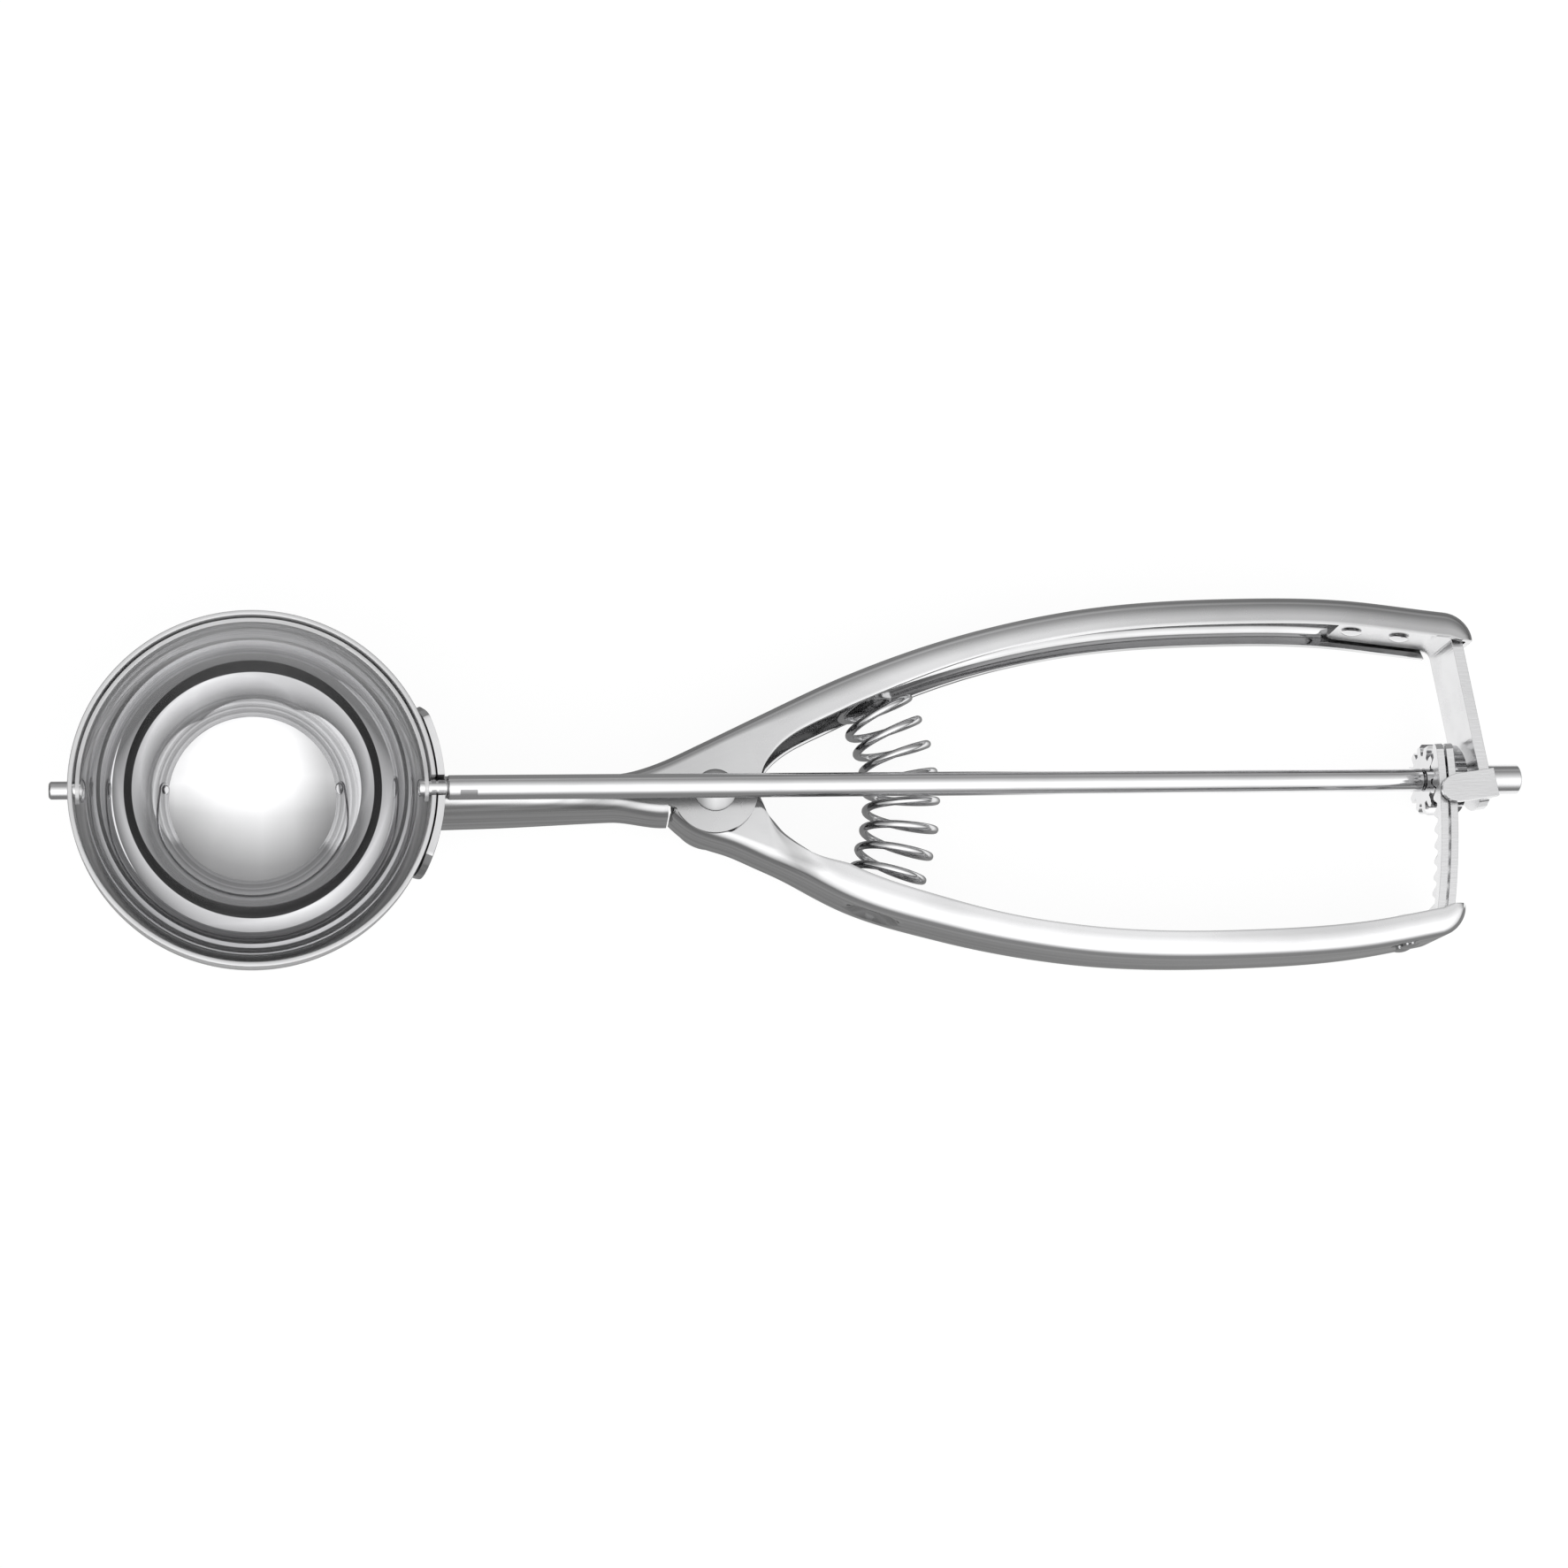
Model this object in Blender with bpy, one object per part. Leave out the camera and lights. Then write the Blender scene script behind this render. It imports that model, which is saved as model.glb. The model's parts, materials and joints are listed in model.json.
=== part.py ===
"""Squeeze-handle ice cream scoop: round bowl, swept scraper blade, rack and pinion drive.

Lengths are in metres. Plan positions count from the bowl's centre, X to the rear and Y to the fixed
lever, and the bowl opens upwards. X_SHIFT then moves the whole scoop over its own middle. The shaft
slopes down to the rear: a point beside it is given by its distance t along the shaft, y across it
and n towards the bowl's mouth.
"""

import math

import bmesh
import bpy
import numpy as np
from mathutils import Matrix, Vector

MM = 0.001

# Clearances
GAP = 0.30 * MM          # between touching pieces
FIT = 0.25 * MM          # round pins, rivets and the shaft
SEAT = 0.30 * MM         # under rivet heads
BACKLASH = 0.28 * MM     # between the teeth

# Bowl
BOWL_RADIUS = 28.0 * MM
BOWL_SHEET = 0.75 * MM
RIM_ABOVE_AXIS = 2.4 * MM

# Saddle, the end of the fixed lever that carries the bowl
SADDLE_GAP = 0.36 * MM
SADDLE_HALF = 13.7 * MM
SADDLE_ANGLE = math.radians(66.0)
SADDLE_SHAPE = [(0.0, 0.82), (0.08, 0.93), (0.2, 1.0), (0.5, 0.8), (0.82, 0.5), (0.95, 0.32), (1.0, 0.1)]

# Scraper blade
BLADE_SHEET = 0.6 * MM
BLADE_CLEARANCE = 0.35 * MM
BLADE_BELOW_RIM = 0.5 * MM
BLADE_DROP = 6.2 * MM
BLADE_LOBE = 2.2 * MM

# Shaft and front pin
SHAFT_TILT = math.radians(6.5)
SHAFT_RADIUS = 1.95 * MM
JOURNAL_RADIUS = 1.375 * MM
JOURNAL_IN = 1.1 * MM
PIN_OUT = 2.8 * MM
PIN_HEAD_RADIUS = 1.9 * MM
PIN_HEAD_HEIGHT = 0.75 * MM
CHAMFER = 0.3 * MM
CRIMP_FROM_BOWL = 5.1 * MM
CRIMP_DEPTH = 0.25 * MM

# Levers
SHEET = 1.1 * MM
BEND_RADIUS = 1.8 * MM
CHANNEL_HEIGHT = 17.0 * MM
LEG = 4.4 * MM
LEG_FLARE = 0.7 * MM
NECK_LENGTH = 44.2 * MM
NECK_HALF = 2.7 * MM
NECK_FLARE = 1.2 * MM
NECK_FRONT_LOW = 3.2 * MM
NECK_REAR_LOW = 5.4 * MM
HANDLE_SPREAD = 30.0 * MM
REAR_RADIUS = 5.2 * MM
HANDLE_LINE = [(0.17, 0.603), (0.30, 0.785), (0.478, 0.943), (0.705, 1.0), (0.87, 0.976), (1.0, 0.90)]

# Ears and pivot rivet
EAR_RADIUS = 6.9 * MM
RIVET_RADIUS = 2.0 * MM
HEAD_RADIUS = 3.45 * MM
HEAD_HEIGHT = 1.1 * MM

# Racks
RACK_RADIUS = 120.9 * MM
RACK_SHEET = 1.25 * MM
RACK_GAP = 0.35 * MM
RACK_END_Y = 4.6 * MM
RACK_FOOT = 8.7 * MM
RACK_FOOT_LENGTH = 10.5 * MM
RACK_BEND = 1.0 * MM
END_ROOM = 0.004         # least angle, in radians, from a strip's last tooth to its end
TOOTH_ADDENDUM = 0.72 * MM
TOOTH_DEDENDUM = 1.15 * MM
MESH_RELIEF = 0.10 * MM

# Pinion and hub
TEETH = 12
MODULE = 0.86 * MM
PRESSURE = math.radians(25.0)
PINION_LEAD = 3.1 * MM
PINION_LENGTH = 7.0 * MM
PINION_CHAMFER = 0.5 * MM
SPIGOT_RADIUS = 1.5 * MM
HUB_RADIUS = 2.56 * MM
HUB_OUT = 7.85 * MM
HUB_CHAMFER = 0.5 * MM
HUB_WALL = 4.0 * MM

# Bearing bracket
BRACKET_SHEET = 1.8 * MM
BRACKET_ANGLE = math.radians(6.8)
BRACKET_BEND = 3.0 * MM
BRACKET_FOOT = 14.5 * MM
BRACKET_LIP = 2.8 * MM
BRACKET_INSET = 1.1 * MM
TAB_SHEET = 1.1 * MM
TAB_LENGTH = 8.3 * MM
TAB_HALF = 2.35 * MM
TAB_OFFSET = 2.6 * MM

# Small rivets
SMALL_SHANK = 1.0 * MM
SMALL_HEAD = 1.75 * MM
SMALL_HEAD_HEIGHT = 0.5 * MM

# Spring
SPRING_WIRE = 1.25 * MM
SPRING_OUTER = 12.4 * MM
SPRING_TURNS = 9.0
SPRING_CLOSING = 0.012
SPRING_BULGE = 5.0 * MM
SPRING_FROM_PIVOT = 25.3 * MM
POINTS_PER_TURN = 10
BOSS_RADIUS = 4.4 * MM
BOSS_HEIGHT = 1.3 * MM

# Places that follow from the sizes above
COS, SIN, TAN = math.cos(SHAFT_TILT), math.sin(SHAFT_TILT), math.tan(SHAFT_TILT)
PIVOT_X = BOWL_RADIUS + NECK_LENGTH
REAR_X = PIVOT_X + RACK_RADIUS
PITCH_RADIUS = TEETH * MODULE / 2
TIP_RADIUS = PITCH_RADIUS + MODULE
INNER_EAR_RADIUS = EAR_RADIUS - GAP
FLANGE_BOTTOM = HEAD_HEIGHT + SEAT
FLANGE_TOP = FLANGE_BOTTOM + CHANNEL_HEIGHT
MID_Z = FLANGE_BOTTOM + CHANNEL_HEIGHT / 2
BOWL_Z = FLANGE_TOP + SEAT + HEAD_HEIGHT + 1.4 * GAP + SHAFT_RADIUS / COS + PIVOT_X * TAN
PINION_START = (REAR_X - PINION_LEAD) / COS
PINION_END = PINION_START + PINION_LENGTH
BRACKET_X = PINION_END * COS + TIP_RADIUS * (SIN + math.tan(BRACKET_ANGLE)) + GAP + BRACKET_SHEET / 2
HUB_END = (BRACKET_X + BRACKET_SHEET / 2) / COS + HUB_OUT
PIN_TIP = BOWL_RADIUS + PIN_OUT
X_SHIFT = -((HUB_END - PIN_TIP) * COS
            + (HUB_RADIUS - HUB_CHAMFER - JOURNAL_RADIUS + CHAMFER) * SIN) / 2

SHIFT = Vector((X_SHIFT, 0, 0))
AXIS = Vector((COS, 0, -SIN))
MOUTH = Vector((SIN, 0, COS))
PIVOT = Vector((PIVOT_X, 0, MID_Z))

FINISHES = {"Polished steel": ((0.80, 0.80, 0.82), 0.12),
            "Brushed steel": ((0.66, 0.67, 0.69), 0.30),
            "Spring steel": ((0.55, 0.56, 0.58), 0.28)}


def clear_scene():
    """Removes whatever the start-up scene holds."""
    for obj in list(bpy.data.objects):
        bpy.data.objects.remove(obj, do_unlink=True)


def material(finish, name):
    """A steel finish with its own Principled node."""
    colour, roughness = FINISHES[finish]
    mat = bpy.data.materials.new(f"{finish} {name}")
    mat.use_nodes = True
    node = mat.node_tree.nodes["Principled BSDF"]
    node.inputs["Base Color"].default_value = (*colour, 1.0)
    node.inputs["Metallic"].default_value = 1.0
    node.inputs["Roughness"].default_value = roughness
    return mat


def shaft_point(t, y=0.0, n=0.0):
    """The point t along the shaft from the bowl's centre, y across it and n towards the mouth."""
    return Vector((0, y, BOWL_Z)) + AXIS * t + MOUTH * n


def axis_height(x):
    """Height of the shaft's axis over plan position x."""
    return BOWL_Z - x * TAN


def smooth_step(u):
    """Eases from 0 to 1."""
    u = min(1.0, max(0.0, u))
    return u * u * (3 - 2 * u)


def mixed(a, b, u):
    """The value at the share u of the way from a to b."""
    return a + (b - a) * u


def spaced(start, end, count):
    """Evenly spaced values, both ends included."""
    return [float(v) for v in np.linspace(start, end, count)]


# Solids


def new_object(name, verts, faces, finish="Polished steel", origin=None, cutter=False):
    """A mesh object with its origin on the given point, or a cutter or joined body that isn't shown."""
    origin = SHIFT + (origin or Vector((0, 0, 0)))
    mesh = bpy.data.meshes.new(name)
    mesh.from_pydata([Vector(v) + SHIFT - origin for v in verts], [], faces)
    bm = bmesh.new()
    bm.from_mesh(mesh)
    bmesh.ops.remove_doubles(bm, verts=bm.verts, dist=1e-7)
    bmesh.ops.recalc_face_normals(bm, faces=bm.faces)
    bm.to_mesh(mesh)
    bm.free()
    obj = bpy.data.objects.new(name, mesh)
    obj.location = origin
    bpy.context.scene.collection.objects.link(obj)
    if cutter:
        obj.hide_render = True
        obj.display_type = "WIRE"
    else:
        mesh.materials.append(material(finish, name))
    return obj


def boolean(obj, other, operation="DIFFERENCE"):
    """Cuts obj with another body, or joins that body to it."""
    mod = obj.modifiers.new(operation.title(), "BOOLEAN")
    mod.operation = operation
    mod.solver = "EXACT"
    mod.object = other


def settle(smooth_angle=math.radians(32.0)):
    """Applies each piece's cuts and joins, shades it smooth and keeps its edges sharp."""
    bpy.context.view_layer.update()
    graph = bpy.context.evaluated_depsgraph_get()
    pieces = [obj for obj in bpy.data.objects if obj.type == "MESH" and not obj.hide_render]
    shaped = [bpy.data.meshes.new_from_object(obj.evaluated_get(graph)) for obj in pieces]
    for obj, mesh in zip(pieces, shaped):
        obj.modifiers.clear()
        obj.data = mesh
        mesh.shade_smooth()
        mesh.set_sharp_from_angle(angle=smooth_angle)


def turned(name, profile, start, direction, segments=32, **options):
    """A turned solid; its profile is (distance along, radius) pairs that start and end on the axis."""
    direction = direction.normalized()
    side = direction.orthogonal().normalized()
    other = direction.cross(side)
    verts, faces, rings = [], [], []
    for along, radius in profile:
        centre = start + direction * along
        if radius == 0:
            rings.append([len(verts)] * segments)
            verts.append(centre)
            continue
        rings.append(list(range(len(verts), len(verts) + segments)))
        for k in range(segments):
            a = 2 * math.pi * k / segments
            verts.append(centre + side * (radius * math.cos(a)) + other * (radius * math.sin(a)))
    for low, high in zip(rings, rings[1:]):
        for k in range(segments):
            m = (k + 1) % segments
            faces.append(tuple(dict.fromkeys((low[k], low[m], high[m], high[k]))))
    return new_object(name, verts, faces, **options)


def round_cutter(name, start, end, radius, segments=32):
    """A round cutter from start to end."""
    length = (end - start).length
    return turned(name, [(0, 0), (0, radius), (length, radius), (length, 0)], start, end - start, segments,
                  cutter=True)


def prism(name, outline, start, end, **options):
    """A prism whose outline, given from its start point, is carried to its end point."""
    count = len(outline)
    verts = [start + p for p in outline] + [end + p for p in outline]
    faces = [tuple(range(count)), tuple(range(2 * count - 1, count - 1, -1))]
    faces += [(k, (k + 1) % count, count + (k + 1) % count, count + k) for k in range(count)]
    return new_object(name, verts, faces, **options)


def sheet(name, outer, inner, present=lambda i, j: True, **options):
    """A bent sheet on a grid of outer and inner points, made where present says that a cell has metal."""
    rows, cols = len(outer), len(outer[0])
    verts = [p for row in outer for p in row] + [p for row in inner for p in row]

    def at(i, j, inside):
        return inside * rows * cols + i * cols + j

    def has(i, j):
        return 0 <= i < rows - 1 and 0 <= j < cols - 1 and present(i, j)

    faces = []
    for i in range(rows - 1):
        for j in range(cols - 1):
            if not has(i, j):
                continue
            corners = [(i, j), (i, j + 1), (i + 1, j + 1), (i + 1, j)]
            beside = [(i - 1, j), (i, j + 1), (i + 1, j), (i, j - 1)]
            faces.append(tuple(at(*c, 0) for c in corners))
            faces.append(tuple(at(*c, 1) for c in reversed(corners)))
            for a, b, near in zip(corners, corners[1:] + corners[:1], beside):
                if not has(*near):
                    faces.append((at(*a, 0), at(*a, 1), at(*b, 1), at(*b, 0)))
    used = sorted({v for face in faces for v in face})
    place = {v: k for k, v in enumerate(used)}
    return new_object(name, [verts[v] for v in used], [tuple(place[v] for v in face) for face in faces],
                      **options)


def strip(name, path, thickness, heights, **options):
    """A plate that stands on edge along a plan path; heights holds its (low, high) at each point."""
    verts, faces = [], []
    for i, (point, (low, high)) in enumerate(zip(path, heights)):
        along = (path[min(i + 1, len(path) - 1)] - path[max(i - 1, 0)]).normalized()
        side = Vector((-along.y, along.x)) * (thickness / 2)
        verts += [Vector((*(point + off), z)) for off, z in ((side, low), (side, high), (-side, high),
                                                             (-side, low))]
    last = 4 * (len(path) - 1)
    for i in range(0, last, 4):
        faces += [(i + k, i + (k + 1) % 4, i + 4 + (k + 1) % 4, i + 4 + k) for k in range(4)]
    faces += [(0, 1, 2, 3), (last + 3, last + 2, last + 1, last)]
    return new_object(name, verts, faces, **options)


def dome(radius, height, steps=5):
    """A domed head's profile, from its rim to its crown."""
    ball = (radius ** 2 + height ** 2) / (2 * height)
    rim = [(0.0, radius)]
    for k in range(1, steps):
        r = radius * math.cos(math.pi / 2 * k / steps)
        rim.append((height - ball + math.sqrt(ball ** 2 - r ** 2), r))
    return rim + [(height, 0)]


def rivet(name, start, direction, grip, shank, head, height, segments=16, steps=3, origin=None):
    """A rivet with two domed heads; grip is the stack that it holds."""
    crown = dome(head, height, steps)
    profile = [(-SEAT - a, r) for a, r in reversed(crown)] + [(-SEAT, shank), (grip + SEAT, shank)]
    profile += [(grip + SEAT + a, r) for a, r in crown]
    return turned(name, profile, start, direction, segments, origin=origin)


# Plan curves


def plan_curve(points):
    """A smooth y over x through plan points, returned with its slope."""
    xs, ys = np.array(points, float).T
    step = np.diff(ys) / np.diff(xs)
    width = np.diff(xs)
    slope = np.concatenate([step[:1], (step[1:] * width[:-1] + step[:-1] * width[1:]) / (xs[2:] - xs[:-2]),
                            step[-1:]])
    slope[1:-1][step[1:] * step[:-1] <= 0] = 0.0

    def at(x):
        i = int(np.clip(np.searchsorted(xs, x) - 1, 0, len(xs) - 2))
        h = width[i]
        u = (x - xs[i]) / h
        if u < 0 or u > 1:
            end = 0 if u < 0 else -1
            return float(ys[end] + slope[end] * (x - xs[end])), float(slope[end])
        y = ((2 * u ** 3 - 3 * u ** 2 + 1) * ys[i] + (u ** 3 - 2 * u ** 2 + u) * h * slope[i]
             + (3 * u ** 2 - 2 * u ** 3) * ys[i + 1] + (u ** 3 - u ** 2) * h * slope[i + 1])
        dy = (6 * (u ** 2 - u) * (ys[i] - ys[i + 1]) / h + (3 * u ** 2 - 4 * u + 1) * slope[i]
              + (3 * u ** 2 - 2 * u) * slope[i + 1])
        return float(y), float(dy)
    return at


def flowing(points, count):
    """Evenly spaced points on a smooth line through plan points."""
    pts = [Vector(p) for p in points]
    ends = [2 * pts[0] - pts[1]] + pts + [2 * pts[-1] - pts[-2]]
    fine = []
    for a, b, c, d in zip(ends, ends[1:], ends[2:], ends[3:]):
        for u in spaced(0, 1, 13)[:-1]:
            fine.append(0.5 * (2 * b + (c - a) * u + (2 * a - 5 * b + 4 * c - d) * u ** 2
                               + (3 * b - a - 3 * c + d) * u ** 3))
    fine.append(pts[-1])
    return resampled(fine, spaced(0, 1, count))


def resampled(line, shares):
    """Points at the given shares of a polyline's length."""
    run = np.concatenate([[0.0], np.cumsum([(b - a).length for a, b in zip(line, line[1:])])])
    out = []
    for share in shares:
        s = run[-1] * share
        i = int(np.clip(np.searchsorted(run, s, side="right") - 1, 0, len(line) - 2))
        out.append(line[i].lerp(line[i + 1], float((s - run[i]) / (run[i + 1] - run[i]))))
    return out


def bend(a, corner, b, radius, steps=7):
    """Points of the round bend between two straight runs."""
    u, v = (a - corner).normalized(), (b - corner).normalized()
    half = u.angle(v) / 2
    centre = corner + (u + v).normalized() * (radius / math.sin(half))
    first = corner + u * (radius / math.tan(half)) - centre
    total = first.angle_signed(corner + v * (radius / math.tan(half)) - centre)
    return [centre + Matrix.Rotation(-total * k / steps, 2) @ first for k in range(steps + 1)]


def on_arc(radius, angle):
    """The plan point at a radius and an angle round the pivot."""
    return Vector((PIVOT_X + radius * math.cos(angle), radius * math.sin(angle)))


class Web:
    """A lever's web in plan: its outer face on one side of the shaft."""

    def __init__(self, front, side):
        """Takes the web's first plan points, up to the handle, and its side, 1 or -1."""
        handle = [(PIVOT_X + share * RACK_RADIUS, spread * HANDLE_SPREAD) for share, spread in HANDLE_LINE]
        self.side = side
        self.curve = plan_curve(front + handle)

    def face(self, x):
        """The outer face at x, and the direction into the channel."""
        y, slope = self.curve(x)
        return Vector((x, self.side * y)), Vector((slope, -self.side)).normalized()

    def inside(self, x, depth):
        """The plan point at a depth behind the outer face at x."""
        spot, inward = self.face(x)
        return spot + inward * depth

    def leg_edge(self, x):
        """The free edge of the flanges at x."""
        wide = LEG + LEG_FLARE * (1 - smooth_step((x - PIVOT_X) / RACK_RADIUS * 4 - 0.65))
        return self.inside(x, wide)

    def rear(self, x_end, count=7):
        """Stations round the lever's rear corner, which ends at x_end: face, inward direction and edge."""
        lean = math.atan(self.curve(x_end - REAR_RADIUS)[1])
        x_start = x_end - REAR_RADIUS * (1 + math.sin(lean))
        y, slope = self.curve(x_start)
        centre = Vector((x_end - REAR_RADIUS, y - REAR_RADIUS * math.cos(lean)))
        stations = []
        for u in spaced(0, 1, count + 1)[1:]:
            a = (math.pi / 2 + lean) * (1 - u)
            out = Vector((math.cos(a), math.sin(a)))
            first = Vector((x_start + 0.04 * REAR_RADIUS, y - LEG + slope * u * REAR_RADIUS / 2))
            last = Vector((x_end - BEND_RADIUS - GAP, centre.y))
            stations.append([Vector((p.x, self.side * p.y)) for p in (centre + out * REAR_RADIUS, -out,
                                                                      first.lerp(last, u))])
        return x_start, stations


# Pressed levers


CORNER = [math.radians(a) for a in (90, 60, 30, 0)]
RUN = len(CORNER)


def channel_section(web, inward, edge, top, bottom, wall=None):
    """Outer and inner points of a lever's section, from its upper edge round the web to its lower edge.

    wall holds the plan point and the lowest height of the neck's second side wall.
    """
    outer, inner = [], []

    def corner(plan, into, height, sign, angles):
        for a in angles:
            for points, radius in ((outer, BEND_RADIUS), (inner, BEND_RADIUS - SHEET)):
                spot = plan + into * (BEND_RADIUS - radius * math.cos(a))
                points.append(Vector((*spot, height + sign * (radius * math.sin(a) - BEND_RADIUS))))

    if wall:
        spot, low = wall
        into = Vector((0, 1))
        outer.append(Vector((*spot, low)))
        inner.append(Vector((*(spot + into * SHEET), low)))
        corner(spot, into, top, 1, CORNER[::-1])
    else:
        outer += [Vector((*edge, top))] * (RUN + 1)
        inner += [Vector((*edge, top - SHEET))] * (RUN + 1)
    corner(web, inward, top, 1, CORNER)
    corner(web, inward, bottom, -1, CORNER[::-1])
    outer.append(Vector((*edge, bottom)))
    inner.append(Vector((*edge, bottom + SHEET)))
    return outer, inner


def ear_edge(radius, angle):
    """A plan point on an ear's round edge."""
    return on_arc(radius, math.radians(angle))


def rivet_holes(lever, name):
    """Cuts the pivot's hole through both of a lever's ears."""
    for part, low, high in (("upper", FLANGE_TOP - 3 * SHEET, FLANGE_TOP + SHEET),
                            ("lower", FLANGE_BOTTOM - SHEET, FLANGE_BOTTOM + 3 * SHEET)):
        boolean(lever, round_cutter(f"cut_{name}_{part}_ear", Vector((PIVOT_X, 0, low)),
                                    Vector((PIVOT_X, 0, high)), RIVET_RADIUS + FIT))


def fixed_lever(web):
    """The fixed lever: saddle, neck, outer ears and handle, pressed from one sheet."""
    def neck_station(x):
        spot, inward = web.face(x)
        near = (x - PIVOT_X) / EAR_RADIUS
        under_shaft = axis_height(x) - SHAFT_RADIUS / COS - 2.5 * GAP
        top = mixed(under_shaft, FLANGE_TOP, smooth_step((near + 4.06) / 2.9))
        low = FLANGE_BOTTOM + mixed(NECK_FRONT_LOW, NECK_REAR_LOW, smooth_step((near + 5.5) / 3.5))
        bottom = mixed(low - BEND_RADIUS, FLANGE_BOTTOM, smooth_step(near + 2.03))
        wall = Vector((x, -NECK_HALF - NECK_FLARE * smooth_step((near + 2.46) / 1.3)))
        return spot, inward, wall, top, bottom, (wall, low)

    def station(x, edge):
        return *web.face(x), edge, FLANGE_TOP, FLANGE_BOTTOM, None

    neck_end = PIVOT_X - 1.29 * EAR_RADIUS
    stations = [neck_station(x) for x in [0.4 * BOWL_RADIUS] + spaced(BOWL_RADIUS, neck_end, 12)]
    walled = len(stations)
    for u in spaced(0, 1, 12):
        stations.append(station(PIVOT_X - INNER_EAR_RADIUS + 2.06 * EAR_RADIUS * u,
                                ear_edge(EAR_RADIUS, 203 + 157 * u)))
    handle_x = PIVOT_X + 0.172 * RACK_RADIUS
    ear_x = PIVOT_X - INNER_EAR_RADIUS + 2.06 * EAR_RADIUS
    crotch = flowing([(PIVOT_X + EAR_RADIUS, 0), (PIVOT_X + 1.23 * EAR_RADIUS, 0.667 * EAR_RADIUS),
                      (PIVOT_X + 1.9 * EAR_RADIUS, 1.3 * EAR_RADIUS), web.leg_edge(handle_x)], 9)
    stations += [station(x, edge) for x, edge in zip(spaced(ear_x, handle_x, 9)[1:], crotch[1:])]
    end = bracket_point(HANDLE_LINE[-1][1] * HANDLE_SPREAD - REAR_RADIUS).x
    x_start, corner = web.rear(end + BRACKET_SHEET / 2 + 1.3 * GAP + SHEET)
    stations += [station(x, web.leg_edge(x)) for x in spaced(handle_x, x_start, 16)[1:]]
    straight = len(stations)
    stations += [(face, inward, edge, FLANGE_TOP, FLANGE_BOTTOM, None) for face, inward, edge in corner]

    outer, inner = zip(*[channel_section(*s) for s in stations])

    def present(i, j):
        if j < RUN:
            return i < walled - 1
        if j >= 3 * RUN:
            return walled <= i < straight + 1
        return True
    lever = sheet("fixed_lever", outer, inner, present)
    rivet_holes(lever, "fixed")
    room = BOWL_RADIUS + SADDLE_GAP + SHEET / 2
    boolean(lever, turned("cut_saddle_room", ball(room), shaft_point(-room), AXIS, 96, cutter=True))
    boolean(lever, saddle(), "UNION")
    boolean(lever, notch("cut_saddle_notch"))
    return lever


def ball(radius, rings=20):
    """A ball's turned profile."""
    arc = [(radius - radius * math.cos(a), radius * math.sin(a)) for a in spaced(0, math.pi, rings + 1)]
    return [(0, 0)] + arc[1:-1] + [(2 * radius, 0)]


def saddle():
    """The patch of a sphere that holds the bowl at the end of the fixed lever."""
    inner = BOWL_RADIUS + SADDLE_GAP
    top = math.asin((RIM_ABOVE_AXIS - 0.15 * GAP) / (inner + SHEET))
    grids = []
    for radius in (inner + SHEET, inner):
        rows = []
        for share, width in flowing(SADDLE_SHAPE, 19):
            angle = -top + (SADDLE_ANGLE + top) * share
            n = -radius * math.sin(angle)
            rows.append([shaft_point(math.sqrt(radius ** 2 - n ** 2 - (y * width) ** 2), y * width, n)
                         for y in spaced(-SADDLE_HALF, SADDLE_HALF, 13)])
        grids.append(rows)
    return sheet("join_saddle", *grids, cutter=True)


def notch(name):
    """The U-shaped slot, open at the rim, that the shaft's journal drops into."""
    half, above, reach = JOURNAL_RADIUS + FIT, 2.5 * RIM_ABOVE_AXIS, 4 * SHEET
    outline = [Vector((0, half * math.cos(a), 0)) + MOUTH * (half * math.sin(a))
               for a in spaced(math.pi, 2 * math.pi, 13)]
    outline += [Vector((0, half, 0)) + MOUTH * above, Vector((0, -half, 0)) + MOUTH * above]
    return prism(name, outline, shaft_point(BOWL_RADIUS - reach), shaft_point(BOWL_RADIUS + reach),
                 cutter=True)


def moving_lever(web):
    """The moving lever: a channel whose ears step in to nest between the fixed lever's ears."""
    step = SHEET + GAP

    def station(x, edge):
        sunk = step * (1 - smooth_step((x - PIVOT_X - 1.2 * EAR_RADIUS) / (1.15 * EAR_RADIUS)))
        return *web.face(x), edge, FLANGE_TOP - sunk, FLANGE_BOTTOM + sunk

    front = PIVOT_X - INNER_EAR_RADIUS - 0.7 * MM
    ear_x = PIVOT_X + 0.8 * INNER_EAR_RADIUS
    stations = [station(front + (ear_x - front) * u, ear_edge(INNER_EAR_RADIUS, 192 - 178 * u))
                for u in spaced(0, 1, 11)]
    handle_x = PIVOT_X + 0.155 * RACK_RADIUS
    crotch = flowing([ear_edge(INNER_EAR_RADIUS, 14), (PIVOT_X + 1.09 * EAR_RADIUS, -0.23 * EAR_RADIUS),
                      (PIVOT_X + 1.45 * EAR_RADIUS, -0.97 * EAR_RADIUS),
                      (PIVOT_X + 2.23 * EAR_RADIUS, -1.55 * EAR_RADIUS), web.leg_edge(handle_x)], 11)
    stations += [station(x, edge) for x, edge in zip(spaced(ear_x, handle_x, 11)[1:], crotch[1:])]
    outer_rack = RACK_RADIUS + RACK_GAP / 2 + RACK_SHEET
    rear_y = HANDLE_LINE[-1][1] * HANDLE_SPREAD - REAR_RADIUS
    x_start, corner = web.rear(PIVOT_X + math.sqrt(outer_rack ** 2 - rear_y ** 2) + 1.8 * GAP + SHEET)
    stations += [station(x, web.leg_edge(x)) for x in spaced(handle_x, x_start, 16)[1:]]
    stations += [(face, inward, edge, FLANGE_TOP, FLANGE_BOTTOM) for face, inward, edge in corner]
    outer, inner = zip(*[channel_section(*s) for s in stations])
    lever = sheet("moving_lever", [row[RUN:] for row in outer], [row[RUN:] for row in inner], origin=PIVOT)
    rivet_holes(lever, "moving")
    return lever


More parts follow.
